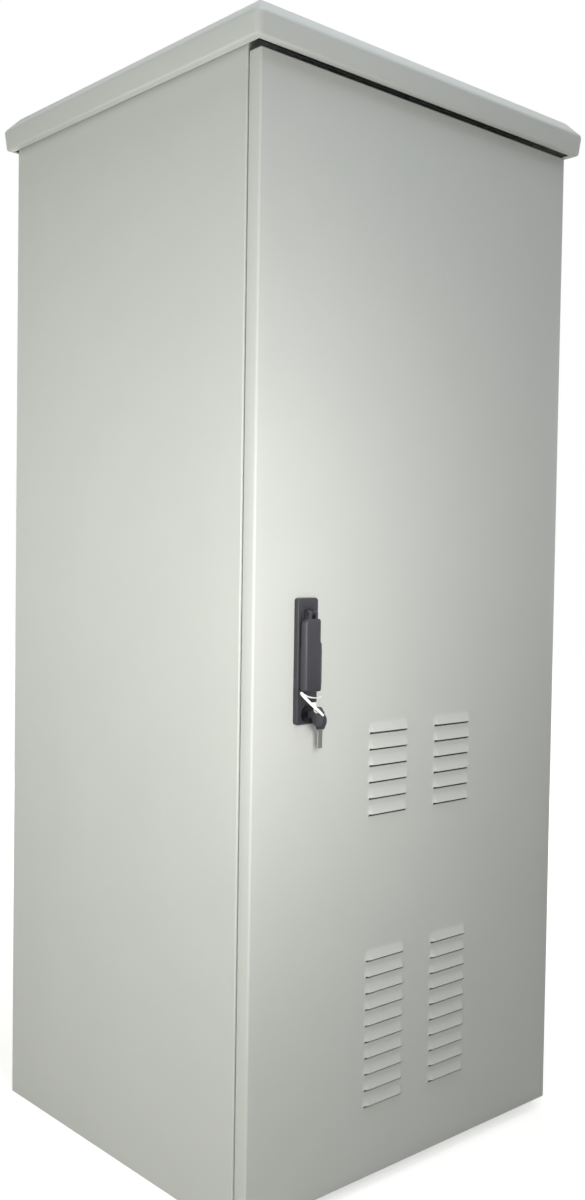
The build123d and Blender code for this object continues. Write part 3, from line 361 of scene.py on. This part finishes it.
# Painted shade in part: the black zinc stands in for the shade of the recess round the pivot and the lock.
shade_black_tones = [(0.05, 0.05, 0.055), (0.09, 0.09, 0.095)]
black_zinc_for_shade = finish("black_zinc_for_shade", shade_black_tones, (0.34, 0.05), 0.00002, 1.0, fine=2600.0)
BLACKENED_FOR_SHADE = ("spindle", "lever_pin", "lock_barrel", "lock_plug")
for name, node in nodes.items():
    for material_slot in node.material_slots:
        material_slot.material = black_zinc_for_shade if name in BLACKENED_FOR_SHADE else finishes[slot_of[name]]
print("finishes", sorted(finishes))

# %% [markdown]
# ## Door panel
# The door is one pressed sheet. Its louvres are cut along their lower edge and pushed outwards, so each is a smooth
# hood that opens downwards, and at its ends it runs back into the flat. Separate hood pieces would leave seams, so
# the whole front is one height field: a height above the door for each place in width and height. The strip below
# each lip is left out, which opens the slot. The rim then turns over a small radius into the four returns and a hem.

# %% Door sizes
SHEET = 1.5
DOOR_LOW, DOOR_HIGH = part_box("door_skin")
DOOR_HALF = DOOR_HIGH.x / MM
DOOR_BOTTOM, DOOR_TOP = DOOR_LOW.z / MM, DOOR_HIGH.z / MM
DOOR_BACK = DOOR_HIGH.y / MM
DOOR_DEPTH = 24.0
DOOR_FRONT = DOOR_BACK - DOOR_DEPTH
FOLD_R = 3.0
print("door", round(2 * DOOR_HALF, 1), "by", round(DOOR_TOP - DOOR_BOTTOM, 1), "mm, front at", round(DOOR_FRONT, 1))

# %% [markdown]
# The louvres stand in two columns, six rows above and ten below. Each hood could be a quarter of a cylinder, but
# pressed ones are steep at the lip and flatten out as they meet the door, so a power a little over 1 is used.

# %% Louvre height
LOUVRE_X = (-66.0, 72.0)
LOUVRE_GROUPS = ((547.5, 6), (123.5, 10))
LOUVRE_PITCH, LOUVRE_HALF, LOUVRE_HEIGHT, LOUVRE_PROUD = 23.65, 43.5, 14.5, 4.4
END_RUN, SLOT, SLOT_MARGIN = 11.0, 3.5, 4.6
HOOD_POWER = 1.25
louvre_z = np.array([base + row * LOUVRE_PITCH for base, rows in LOUVRE_GROUPS for row in range(rows)])
print("louvres", len(LOUVRE_X) * len(louvre_z), "from", louvre_z.min(), "to", louvre_z.max() + LOUVRE_HEIGHT, "mm")


def smooth(t):
    """Cubic step from 0 to 1, level at both ends: three t squared less two t cubed."""
    t = np.clip(t, 0.0, 1.0)
    return t * t * (3.0 - 2.0 * t)


def louvre_height(x, z):
    """Height of the hoods, full at the lip and nothing below it.

    Above the lip it falls as 1 - t to a power, t being the share of the hood's height; at the ends it falls by a
    cubic step. Where two hoods are near, the higher one counts.
    """
    high = np.zeros(np.broadcast(x, z).shape)
    for middle in LOUVRE_X:
        ends = smooth((LOUVRE_HALF - np.abs(x - middle)) / END_RUN)
        for lip in louvre_z:
            t = (z - lip) / LOUVRE_HEIGHT
            rise = np.clip(1.0 - t, 0.0, 1.0) ** HOOD_POWER
            high = np.maximum(high, LOUVRE_PROUD * ends * rise * (t >= -1e-6))
    return high


# %% [markdown]
# A height field is only as sharp as its grid, so the grid lines are close together on each hood and its run-out and
# far apart on the plain bands. A line lies on each lip and on each slot's lower edge.


# %% Grid lines
def spaced(low, high, step):
    """Even places from low to high, about a step apart."""
    return np.linspace(low, high, max(2, int(round((high - low) / step)) + 1))


BESIDE = LOUVRE_HALF + 2.5
end_lines = np.append(spaced(0.0, END_RUN, 1.4), END_RUN + 2.0)
half_lines = np.concatenate([LOUVRE_HALF - end_lines, spaced(0.0, LOUVRE_HALF - END_RUN - 2.0, 9.0)])
louvre_lines = [middle + side * half_lines for middle in LOUVRE_X for side in (-1, 1)]
outer_x = DOOR_HALF - FOLD_R
plain_x = [spaced(-outer_x, LOUVRE_X[0] - BESIDE, 20.0), spaced(LOUVRE_X[1] + BESIDE, outer_x, 20.5)]
between_x = np.mean(LOUVRE_X) + np.array([-13.0, 0.0, 13.0])
x_lines = np.unique(np.round(np.concatenate(louvre_lines + plain_x + [between_x]), 4))

rise_lines = np.concatenate([[-SLOT], spaced(0.0, LOUVRE_HEIGHT, 1.35), [LOUVRE_HEIGHT + 4.0]])
PLAIN_Z = ((DOOR_BOTTOM + FOLD_R, 112.0, 18.0), (375.0, 535.0, 20.0), (695.0, DOOR_TOP - FOLD_R, 25.0))
z_lines = np.concatenate([lip + rise_lines for lip in louvre_z] + [spaced(*band) for band in PLAIN_Z])
z_lines = np.unique(np.round(z_lines, 4))
print("grid", len(x_lines), "by", len(z_lines), "lines")

# %% Front and its slots
grid_x, grid_z = np.meshgrid(x_lines, z_lines)
front = np.stack([grid_x, DOOR_FRONT - louvre_height(grid_x, grid_z), grid_z], axis=-1) * MM
middle_x = (x_lines[:-1] + x_lines[1:]) / 2
middle_z = (z_lines[:-1] + z_lines[1:]) / 2
off_column = np.min([np.abs(middle_x - middle) for middle in LOUVRE_X], axis=0)
in_slot_x = off_column < LOUVRE_HALF - SLOT_MARGIN
below_lip = np.min(np.abs(middle_z[:, None] - (louvre_z - SLOT / 2)[None, :]), axis=1) < SLOT / 4
face_kept = ~(below_lip[:, None] & in_slot_x[None, :])
print("front cells", face_kept.size, "of which open", int((~face_kept).sum()))

# %% [markdown]
# The rim is the front's own border carried along a folded line: round the bend, down the return, round the second
# bend. Each border point moves along its own outward direction, and at a corner the direction turns in even steps,
# which gives the rounded corner. A hem turned inwards stiffens three sides; it runs out before the hinge side.

# %% Border and its directions
CORNER_STEPS = 5


def rectangle_rim(x_places, z_places):
    """Points round the border of a grid with their outward normals; each corner's normal turns in even steps."""
    x0, x1, z0, z1 = x_places[0], x_places[-1], z_places[0], z_places[-1]
    sides = [
        (np.stack([x_places, np.full_like(x_places, z0)], -1), -90.0),
        (np.stack([np.full_like(z_places, x1), z_places], -1), 0.0),
        (np.stack([x_places[::-1], np.full_like(x_places, z1)], -1), 90.0),
        (np.stack([np.full_like(z_places, x0), z_places[::-1]], -1), 180.0),
    ]
    places, turns = [], []
    for line, turn in sides:
        places += [line, np.repeat(line[-1:], CORNER_STEPS - 1, axis=0)]
        turns += [np.full(len(line), turn), turn + 90.0 * np.arange(1, CORNER_STEPS) / CORNER_STEPS]
    angle = np.radians(np.concatenate(turns))
    return np.concatenate(places), np.stack([np.cos(angle), np.sin(angle)], -1)


rim, normal = rectangle_rim(x_lines, z_lines)
print("border points", len(rim))

# %% Returns and hem
HEM, HEM_STOP, HEM_FADE = 12.0, 250.0, 8.0
fold = np.linspace(0.0, np.pi / 2, 5)
out = [FOLD_R * np.sin(fold), [FOLD_R] * 2, FOLD_R - SHEET + SHEET * np.cos(fold[1:])]
wall_end = DOOR_DEPTH - SHEET
deep = [FOLD_R * (1 - np.cos(fold)), [DOOR_DEPTH / 2, wall_end], wall_end + SHEET * np.sin(fold[1:])]
out, deep = np.concatenate(out), np.concatenate(deep)
hem = HEM * (1.0 - np.clip((rim[:, 0] - HEM_STOP) / HEM_FADE, 0.0, 1.0))
edge = rim[None] + out[:, None, None] * normal[None]
hem_edge = edge[-1:] - (hem[:, None] * np.round(normal, 0))[None]
edge = np.concatenate([edge, hem_edge])
depth = np.append(deep, deep[-1])
depth = DOOR_FRONT + np.broadcast_to(depth[:, None], edge.shape[:2])
returns = np.stack([edge[..., 0], depth, edge[..., 1]], -1) * MM
print("rim rings", len(returns))

# %% One sheet
door_mesh = sheet_mesh("door_panel", front, keep=face_kept)
rim_mesh = sheet_mesh("door_rim", returns[::-1], wrap=True)
joined = bmesh.new()
joined.from_mesh(door_mesh)
joined.from_mesh(rim_mesh)
joined.to_mesh(door_mesh)
joined.free()
tidy_mesh(door_mesh)
door_panel = settle(thicken(new_object("door_panel", door_mesh), SHEET * MM), hard_angle=40.0)
finished(door_panel, "door", "painted_sheet", "door_skin")

# %% [markdown]
# ## Roof
# The rain cap is folded from one sheet: a narrow flange turned in below, a fascia that leans in a little towards
# it, a wide bevel and a flat top. A box with a chamfer would have knife edges; here the folded section, with a curve
# at every fold, is carried round the cabinet's outline. Each step inwards moves the outline in by the same distance
# on every side, except that the rear flange is narrower.


# %% Eased folds and outlines
def eased(points, reach, steps):
    """Line with its corners replaced by quadratic Bezier curves that start and end at a reach from each corner."""
    points = np.asarray(points, float)
    line = [points[:1]]
    t = np.linspace(0.0, 1.0, steps)[:, None]
    for before, corner, after, r in zip(points[:-2], points[1:-1], points[2:], reach):
        a = corner + (before - corner) * (r / np.linalg.norm(before - corner))
        b = corner + (after - corner) * (r / np.linalg.norm(after - corner))
        line.append((1 - t) ** 2 * a + 2 * t * (1 - t) * corner + t**2 * b)
    return np.concatenate(line + [points[-1:]])


def outline_rings(half_x, low_y, high_y, corner_r, inset, rear_inset):
    """Rounded rectangle for each inset, the rear side having an inset of its own.

    A point is its corner's centre plus the remaining radius times a direction that turns by 90 degrees.
    """
    inset, rear_inset = np.asarray(inset, float), np.asarray(rear_inset, float)
    radius = np.maximum(corner_r - inset, 0.0)[:, None]
    x = (half_x - inset)[:, None] - radius
    y0 = (low_y + inset)[:, None] + radius
    y1 = (high_y - rear_inset)[:, None] - radius
    turn = np.radians(np.linspace(0.0, 90.0, CORNER_STEPS))
    corners = [(x, y1, 0.0), (-x, y1, 90.0), (-x, y0, 180.0), (x, y0, 270.0)]
    parts_x = [cx + radius * np.cos(turn + np.radians(start)) for cx, cy, start in corners]
    parts_y = [cy + radius * np.sin(turn + np.radians(start)) for cx, cy, start in corners]
    return np.concatenate(parts_x, axis=1), np.concatenate(parts_y, axis=1)


print("a square corner eased over 4:", np.round(eased([(0, 0), (10, 0), (10, 10)], [4.0], 3), 2).tolist())

# %% Roof cap
ROOF_LOW, ROOF_HIGH = (np.array(corner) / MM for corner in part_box("roof_cap"))
FLANGE, REAR_FLANGE, FASCIA, BEVEL = 17.0, 5.0, 29.5, 24.0
ROOF_CORNER, FASCIA_LEAN, TOP_REACH = 13.0, 4.0, 90.0
top_z = FASCIA + BEVEL
folds = [(FLANGE, 0.0), (FASCIA_LEAN, 0.0), (0.0, FASCIA), (BEVEL, top_z), (TOP_REACH, top_z)]
section = eased(folds, [3.0, 4.0, 3.5], 7)
rear = np.where(section[:, 1] < 0.01, np.minimum(section[:, 0], FASCIA_LEAN + REAR_FLANGE), section[:, 0])
ring_x, ring_y = outline_rings(ROOF_HIGH[0], ROOF_LOW[1], ROOF_HIGH[1], ROOF_CORNER, section[:, 0], rear)
ring_z = np.broadcast_to(ROOF_LOW[2] + section[:, 1:2], ring_x.shape)
roof_points = np.stack([ring_x, ring_y, ring_z], axis=-1) * MM
roof_mesh = sheet_mesh("roof_shell", roof_points, wrap=True)
top = bmesh.new()
top.from_mesh(roof_mesh)
top.verts.ensure_lookup_table()
count = ring_x.shape[1]
top.faces.new([top.verts[index] for index in range(len(top.verts) - count, len(top.verts))])
top.to_mesh(roof_mesh)
top.free()
tidy_mesh(roof_mesh)
roof_shell = settle(thicken(new_object("roof_shell", roof_mesh), SHEET * MM), hard_angle=50.0)
finished(roof_shell, "cabinet", "painted_sheet", "roof_cap")

# %% [markdown]
# ## Moulded and cast pieces
# Moulded plastic never has sharp edges, and light runs along its small radii. The forms of the handle and the keys
# are right in the frame, so each gets a copy whose flat faces are joined, and a Bevel modifier rounds its edges.
# Sculpting would give the same edges with far more points. The handle's base also has a softer shoulder round its
# front, which is rounded first and alone.


# %% Rounded copies
RIM_BORDER = 1.261 * MM
FRONT_BAND = 0.02 * MM


def shoulder(mesh, low, high, width):
    """Round only the edges of the front rim: both ends lie on the front plane and near the box's border."""
    work = bmesh.new()
    work.from_mesh(mesh)
    on_front = {v for v in work.verts if abs(v.co.y - low.y) < FRONT_BAND}

    def outer(v):
        return min(v.co.x - low.x, high.x - v.co.x, v.co.z - low.z, high.z - v.co.z) < RIM_BORDER

    rim = [e for e in work.edges if all(v in on_front and outer(v) for v in e.verts)]
    bmesh.ops.bevel(work, geom=rim, offset=width, segments=5, profile=0.5, affect="EDGES", clamp_overlap=True)
    work.to_mesh(mesh)
    work.free()
    print(mesh.name, "rim edges", len(rim))


def rounded(name, node, width, segments=3, rim=0.0):
    """Copy of a node with its flat faces joined and its edges rounded over a width, the front rim over its own."""
    mesh = nodes[node].data.copy()
    mesh.name = name
    if "custom_normal" in mesh.attributes:
        mesh.attributes.remove(mesh.attributes["custom_normal"])
    tidy_mesh(mesh, flat_angle=0.6)
    if rim:
        shoulder(mesh, *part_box(node), rim)
    piece = settle(soften(new_object(name, mesh), width, segments, angle=32.0), hard_angle=42.0)
    return finished(piece, body_of[node], slot_of[node], node)


# %% Handle and keys
rounded("handle_moulding", "handle_base", width=0.0006, segments=2, rim=0.0034)
rounded("handle_backplate", "handle_plate", width=0.0003, segments=1)
rounded("lever_grip", "lever", width=0.0012)
rounded("lock_key", "key_in_lock", width=0.0006)

# %% [markdown]
# The lever wears a moulded cover: a long paddle with a straight left side, a small step on the right and a rounded
# upper end. It could be a cut block with a bevel, but one outline that is drawn in a little at each level gives the
# crowned face and the soft edge together.


# %% Crowned plate
def plate_outline(corners, reach, steps=4):
    """Closed outline with each corner eased over its reach."""
    reach = np.broadcast_to(reach, len(corners))
    ring = [corners[-1]] + list(corners) + [corners[0]]
    return eased(ring, reach, steps)[1:-1]


def crowned_plate(name, outline, levels):
    """Closed plate: for each level the outline moves inwards by an inset and stands at a height above the door.

    An inset of None draws the outline together at its middle, which closes the plate.
    """
    outline = np.asarray(outline, float)
    along = np.roll(outline, -1, axis=0) - np.roll(outline, 1, axis=0)
    along /= np.linalg.norm(along, axis=1, keepdims=True)
    inward = np.stack([-along[:, 1], along[:, 0]], -1)
    middle = (outline.max(axis=0) + outline.min(axis=0)) / 2
    rings = []
    for inset, height in levels:
        flat = np.broadcast_to(middle, outline.shape) if inset is None else outline + inset * inward
        rings.append(np.stack([flat[:, 0], np.full(len(flat), DOOR_FRONT - height), flat[:, 1]], -1))
    mesh = tidy_mesh(sheet_mesh(name, np.array(rings) * MM, wrap=True), outward=True)
    return settle(new_object(name, mesh), hard_angle=34.0)


# %% Lever cover
# The corners are across and up from the spindle's middle, in millimetres. A level is an inset and a height.
HANDLE_X, SPINDLE_Z, LOCK_Z = -234.9, 838.0, 702.0
PADDLE = [(-15.2, -105), (15.2, -105), (15.2, -40.5), (13.0, -37.5), (13.0, -6.5), (-15.2, -6.5)]
PADDLE_EASE = [4.0, 4.0, 1.2, 1.2, 4.5, 7.5]
PADDLE_BACK = [(None, 10.5), (0.6, 10.5), (0.0, 11.2), (0.0, 18.3)]
PADDLE_CROWN = [(0.35, 19.4), (1.1, 20.3), (2.3, 20.8), (4.5, 21.1), (None, 21.3)]
paddle_line = plate_outline(PADDLE, PADDLE_EASE, 6) + np.array([HANDLE_X, SPINDLE_Z])
lever_cover = crowned_plate("lever_cover", paddle_line, PADDLE_BACK + PADDLE_CROWN)
finished(lever_cover, "lever", "dark_plastic")

# %% [markdown]
# ## Spare key's bow and the nylon tie
# The second key has a black moulded bow, eight sided with softened corners. The tie that joins the keys is a flat
# nylon strip whose long free end folds back on itself. A curve object with a bevel could make the strip; here both
# follow from a section, which keeps their points few: the bow is an outline swept through its thickness, and the
# strip is a rounded rectangle carried along a smooth curve through a few points. The key's metal plate is in the
# frame already, and gets the same rounding as the pieces above.

# %% Spare key's plate
rounded("spare_key_plate", "spare_key", width=0.00025, segments=1)


# %% Strip along a curve
PATH_STEPS, RING_STEPS = 90, 12
FACE = np.array((0.0, -1.0, 0.0))
SQUARED = 0.5
TIP_SHARE = 0.35


def smooth_path(points, count):
    """Catmull-Rom curve: each span blends its two end points and their neighbours with the usual cubic weights."""
    p = np.asarray(points, float)
    p = np.concatenate([2 * p[:1] - p[1:2], p, 2 * p[-1:] - p[-2:-1]])
    t = np.linspace(0.0, len(p) - 3 - 1e-6, count)
    k = t.astype(int)
    u = (t - k)[:, None]
    a, b, c, d = p[k], p[k + 1], p[k + 2], p[k + 3]
    return 0.5 * (2 * b + (c - a) * u + (2 * a - 5 * b + 4 * c - d) * u**2 + (3 * b - a - 3 * c + d) * u**3)


def strip(name, points, widths, thickness):
    """Flat strip with rounded edges: a flattened ring at each place on the path, closed at both ends.

    The ring is the unit circle with the cosine and the sine each raised to a power below 1, sign kept, which
    squares it; it is then scaled by half the width across the path and half the thickness along the face.
    """
    path = smooth_path(points, PATH_STEPS)
    along = np.gradient(path, axis=0)
    along /= np.linalg.norm(along, axis=1, keepdims=True)
    across = np.cross(along, FACE)
    across /= np.linalg.norm(across, axis=1, keepdims=True)
    outward = np.cross(across, along)
    wide = np.interp(np.linspace(0, 1, PATH_STEPS), np.linspace(0, 1, len(widths)), widths) / 2
    wide[[0, -1]] *= TIP_SHARE
    angle = np.linspace(0.0, 2 * np.pi, RING_STEPS, endpoint=False)
    box_x = np.sign(np.cos(angle)) * np.abs(np.cos(angle)) ** SQUARED
    box_y = np.sign(np.sin(angle)) * np.abs(np.sin(angle)) ** SQUARED
    ring = path[:, None] + wide[:, None, None] * box_x[None, :, None] * across[:, None]
    ring = ring + thickness / 2 * box_y[None, :, None] * outward[:, None]
    ends = np.concatenate([np.broadcast_to(path[:1, None], ring[:1].shape), ring])
    ends = np.concatenate([ends, np.broadcast_to(path[-1:, None], ring[:1].shape)])
    mesh = tidy_mesh(sheet_mesh(name, ends * MM, wrap=True), outward=True)
    return settle(new_object(name, mesh), hard_angle=50.0)


print("a strip has", PATH_STEPS, "rings of", RING_STEPS, "points")


# %% Tie
def by_lock(x, proud, z):
    """Point from the lock's middle: across, out from the door, and up."""
    return (HANDLE_X + x, DOOR_FRONT - proud, LOCK_Z + z)


loop = [(-6, 29, 14), (-7, 30.6, 8), (-4, 31, 5), (5, 31, 4.4), (13, 27.5, 2.4), (18, 21, -3.5), (18.6, 15, -6)]
loop += [(16.5, 11.2, -3), (12.5, 13, 5), (7, 19, 13), (1, 24.5, 17), (-4, 29, 17.4)]
strip("tie_loop", [by_lock(*point) for point in loop], [2.4], 1.2)
tail = [(-3.2, 44.5, 1.6), (-7.5, 39.5, 8), (-14.5, 32, 17), (-21.5, 26.5, 26), (-24.5, 24.4, 30)]
tail += [(-24.5, 23.4, 31.4), (-21, 22.9, 29.8), (-12, 22.7, 25.8), (-3, 22.6, 23.8), (6, 22.4, 23.0)]
tail += [(14, 21.8, 24.0)]
strip("tie_tail", [by_lock(*point) for point in tail], [2.6, 4.2, 4.2, 4.2, 3.8, 2.2, 1.8, 1.5, 1.5], 1.3)
print("guide points", len(loop), "in the loop and", len(tail), "in the tail")

# %% Tie's head, a small block
head_low, head_high = np.array(by_lock(-9, 31.5, 12.5)), np.array(by_lock(-4, 27.0, 18.5))
head_mesh = bpy.data.meshes.new("tie_head")
block = bmesh.new()
bmesh.ops.create_cube(block, size=1.0)
block.to_mesh(head_mesh)
block.free()
corners = np.empty(3 * len(head_mesh.vertices))
head_mesh.vertices.foreach_get("co", corners)
corners = ((head_low + head_high) / 2 + corners.reshape(-1, 3) * np.abs(head_high - head_low)) * MM
head_mesh.vertices.foreach_set("co", corners.ravel())
settle(soften(new_object("tie_head", head_mesh), width=0.0009, segments=3))
for name in ("tie_loop", "tie_tail", "tie_head"):
    covered = ["key_strap"] if name == "tie_loop" else []
    finished(bpy.data.objects[name], "lock_plug", "white_plastic", *covered)

# %% Spare key's bow
# Each ring is a share of the outline and a height from the bow's middle plane.
BOW_CORNERS = [(-11, 0), (-7, 6.5), (7, 6.5), (11, 0), (11, -7), (6, -14), (-6, -14), (-11, -7)]
BOW_CENTRE = np.array([0.0, -5.5])
BOW_SIDE, BOW_PROUD, BOW_DROP = 18.0, 15.0, 7.0
BOW_RINGS = np.array([(0.0, 1.6), (0.82, 2.2), (1.0, 1.7), (1.0, -1.7), (0.82, -2.2), (0.0, -1.6)])
bow = plate_outline(BOW_CORNERS, 2.0)
flat = BOW_CENTRE + BOW_RINGS[:, 0][:, None, None] * (bow - BOW_CENTRE)[None]
bow_x = HANDLE_X + BOW_SIDE + flat[..., 0]
bow_z = LOCK_Z - BOW_DROP + flat[..., 1]
bow_y = np.broadcast_to(DOOR_FRONT - BOW_PROUD - BOW_RINGS[:, 1][:, None], bow_x.shape)
bow_mesh = sheet_mesh("spare_key_bow", np.stack([bow_x, bow_y, bow_z], -1) * MM, wrap=True)
bow_piece = settle(new_object("spare_key_bow", tidy_mesh(bow_mesh, outward=True)), hard_angle=28.0)
finished(bow_piece, "lock_plug", "dark_plastic")

# %% [markdown]
# ## Fasteners
# Button-head screws with a hexagon socket hold the rear panel, the hinges and the gland plate. One screw is a ring
# profile whose inner rings turn from round to six sided; the same array is repeated at every place, so a few dozen
# screws stay one light mesh. The photograph doesn't show these places, so they are the usual ones for such sheets.

# %% One screw's rings
# A ring is its share of the screw's radius, its height as a share of the radius, and 1 where it is six sided.
SCREW_STEPS = 18
WASHER = [(1.35, -0.05, 0), (1.35, 0.12, 0), (1.28, 0.18, 0), (1.0, 0.18, 0)]
DOME = [(1.0, 0.34, 0), (0.9, 0.55, 0), (0.68, 0.7, 0)]
SOCKET = [(0.5, 0.74, 1), (0.48, 0.7, 1), (0.48, 0.3, 1), (0.0, 0.3, 1)]
screw_rings = np.array(WASHER + DOME + SOCKET)
print("rings in a screw", len(screw_rings))


# %% Screws at many places
def screws(name, places, outward, radius, body, slot="zinc"):
    """Button heads at places in millimetres, facing outward; a hexagon's radius is cos 30 over cos(a - 30)."""
    angle = np.linspace(0.0, 2 * np.pi, SCREW_STEPS, endpoint=False)
    six = np.cos(np.pi / 6) / np.cos(angle % (np.pi / 3) - np.pi / 6)
    spread = radius * screw_rings[:, :1] * np.where(screw_rings[:, 2:] > 0, six[None], 1.0)
    w = np.array(outward, float)
    u = np.array((0.0, 0.0, 1.0)) if abs(w[2]) < 0.5 else np.array((1.0, 0.0, 0.0))
    v = np.cross(w, u)
    rise = radius * screw_rings[:, 1][:, None, None]
    one = spread[..., None] * (np.cos(angle)[None, :, None] * u + np.sin(angle)[None, :, None] * v) + rise * w
    many = (np.asarray(places, float)[:, None, None] + one[None]) * MM
    work = bmesh.new()
    for head in many:
        mesh = sheet_mesh("head", head, wrap=True)
        work.from_mesh(mesh)
        bpy.data.meshes.remove(mesh)
    mesh = bpy.data.meshes.new(name)
    work.to_mesh(mesh)
    work.free()
    piece = settle(new_object(name, tidy_mesh(mesh, outward=True)), hard_angle=40.0)
    return finished(piece, body, slot)


# %% Screws of the rear panel
PANEL_X, PANEL_LOW, PANEL_HIGH = 311.0, 40.0, 1555.0
rear_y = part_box("rear_panel")[1].y / MM
side_places = [(x, rear_y, z) for x in (-PANEL_X, PANEL_X) for z in np.linspace(PANEL_LOW, PANEL_HIGH, 9)]
end_places = [(x, rear_y, z) for x in (-160.0, 0.0, 160.0) for z in (PANEL_LOW, PANEL_HIGH)]
screws("rear_panel_screws", side_places + end_places, (0, 1, 0), 4.5, "cabinet", "painted_sheet")

# %% Screws of the hinges and the gland plate
HINGE_X, HINGE_Z = 318.0, (200.0, 793.0, 1386.0)
LEAF_THICK, PLATE_THICK = 3.0, 2.0
arm_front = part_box("hinge_frame_leaf_1")[1].y / MM - LEAF_THICK
hinge_places = [(HINGE_X - 31.0, arm_front, z + lift) for z in HINGE_Z for lift in (-12.0, 12.0)]
screws("hinge_arm_screws", hinge_places, (0, -1, 0), 3.4, "cabinet")
leaf_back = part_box("hinge_door_leaf_1")[0].y / MM + LEAF_THICK
leaf_places = [(HINGE_X - 24.0, leaf_back, z + lift) for z in HINGE_Z for lift in (-14.0, 14.0)]
screws("hinge_leaf_screws", leaf_places, (0, 1, 0), 3.4, "door")
plate_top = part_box("gland_plate")[0].z / MM + PLATE_THICK
plate_places = [(x, y, plate_top) for x in (-158.0, 0.0, 158.0) for y in (67.5, 212.5)]
screws("gland_plate_screws", plate_places, (0, 0, 1), 3.0, "cabinet")

# %% [markdown]
# ## Light
# The light follows the photograph: a small source close to the door at the handle's height, which fades towards the
# top and bottom, a broad one from the left, and a cooler one from above. Two more light the rear and the right side,
# which the photograph doesn't show. An environment picture could do it, but a lamp for each is simpler to balance.


# %% Lamps
def area_lamp(name, place, target, size, power, colour):
    """Rectangular lamp of a size in metres that faces a target; the camera does not see the lamp itself."""
    lamp = bpy.data.objects.new(name, bpy.data.lights.new(name, "AREA"))
    lamp.data.shape = "RECTANGLE"
    lamp.data.size, lamp.data.size_y = size
    lamp.data.energy = power
    lamp.data.color = colour
    look = np.array(place, float) - np.array(target, float)
    look /= np.linalg.norm(look)
    across = np.cross((0.0, 0.0, 1.0), look)
    across /= np.linalg.norm(across)
    turn = np.eye(4)
    turn[:3, 0], turn[:3, 1], turn[:3, 2], turn[:3, 3] = across, np.cross(look, across), look, place
    lamp.matrix_world = Matrix(turn.tolist())
    lamp.visible_camera = False
    bpy.context.scene.collection.objects.link(lamp)
    print("lamp", name, power, "W")


area_lamp("near", (-0.55, -1.0, 0.86), (-0.30, -0.30, 0.86), (0.4, 0.5), 6.4, (1.0, 0.985, 0.96))
area_lamp("left", (-1.60, -0.04, 0.87), (-0.3, -0.04, 0.84), (1.0, 0.5), 12.6, (0.99, 1.0, 0.935))
area_lamp("sky", (-0.25, -0.8, 3.05), (-0.1, 0.0, 1.0), (1.4, 1.4), 21.0, (0.89, 0.97, 1.0))
area_lamp("rear", (1.6, 2.6, 1.4), (0.0, 0.3, 0.8), (1.6, 1.8), 34.0, (1.0, 1.0, 0.98))
area_lamp("right", (2.7, -0.4, 1.1), (0.3, 0.0, 0.8), (1.2, 1.6), 16.0, (1.0, 1.0, 0.98))

# %% [markdown]
# ## World and floor
# The world is white where the camera sees it, directly, in gloss or through glass, and only a faint fill for the
# rest, so a white background adds almost no light. The floor is a plain pale one. To the camera it also glows a
# little, more with distance from the cabinet, so that it joins the white background and keeps the shadow.

# %% World
WHITE = (1.0, 1.0, 1.0, 1.0)
FILL_COLOUR, FILL = (0.95, 0.98, 1.0, 1.0), 0.12
world = bpy.data.worlds.new("world")
bpy.context.scene.world = world
world.use_nodes = True
tree = world.node_tree
tree.nodes.clear()
path = tree.nodes.new("ShaderNodeLightPath")
seen = math_node(tree, "MAXIMUM", path.outputs["Is Camera Ray"], path.outputs["Is Transmission Ray"])
seen = math_node(tree, "MAXIMUM", seen, path.outputs["Is Glossy Ray"])
mix = tree.nodes.new("ShaderNodeMixShader")
tree.links.new(seen, mix.inputs[0])
for place, colour, strength in ((1, FILL_COLOUR, FILL), (2, WHITE, 1.0)):
    shade = tree.nodes.new("ShaderNodeBackground")
    shade.inputs["Color"].default_value = colour
    shade.inputs["Strength"].default_value = strength
    tree.links.new(shade.outputs[0], mix.inputs[place])
tree.links.new(mix.outputs[0], tree.nodes.new("ShaderNodeOutputWorld").inputs[0])
print("world fill", FILL)

# %% Floor
FLOOR_HALF = 9.0
FLOOR_COLOUR = (0.60, 0.59, 0.57, 1.0)
GLOW_START, GLOW_END, GLOW_NEAR, GLOW_FAR = 0.5, 2.4, 0.62, 1.0
floor_x, floor_y = np.meshgrid([-FLOOR_HALF, FLOOR_HALF], [-FLOOR_HALF, FLOOR_HALF])
floor = new_object("floor", sheet_mesh("floor", np.stack([floor_x, floor_y, np.zeros((2, 2))], -1)))
plain = bpy.data.materials.new("plain_floor")
plain.use_nodes = True
tree = plain.node_tree
surface = tree.nodes["Principled BSDF"]
surface.inputs["Base Color"].default_value = FLOOR_COLOUR
surface.inputs["Roughness"].default_value = 0.9
far = tree.nodes.new("ShaderNodeVectorMath")
far.operation = "LENGTH"
tree.links.new(tree.nodes.new("ShaderNodeTexCoord").outputs["Object"], far.inputs[0])
ramp = tree.nodes.new("ShaderNodeMapRange")
ramp_ends = {"From Min": GLOW_START, "From Max": GLOW_END, "To Min": GLOW_NEAR, "To Max": GLOW_FAR}
for label, value in ramp_ends.items():
    ramp.inputs[label].default_value = value
tree.links.new(far.outputs["Value"], ramp.inputs["Value"])
seen = tree.nodes.new("ShaderNodeLightPath").outputs["Is Camera Ray"]
glow = tree.nodes.new("ShaderNodeEmission")
glow.inputs["Color"].default_value = WHITE
tree.links.new(math_node(tree, "MULTIPLY", seen, ramp.outputs["Result"]), glow.inputs["Strength"])
both = tree.nodes.new("ShaderNodeAddShader")
tree.links.new(surface.outputs[0], both.inputs[0])
tree.links.new(glow.outputs[0], both.inputs[1])
tree.links.new(both.outputs[0], tree.nodes["Material Output"].inputs["Surface"])
floor.data.materials.append(plain)
print("floor", 2 * FLOOR_HALF, "m wide")

bpy.context.scene.view_settings.view_transform = "Standard"
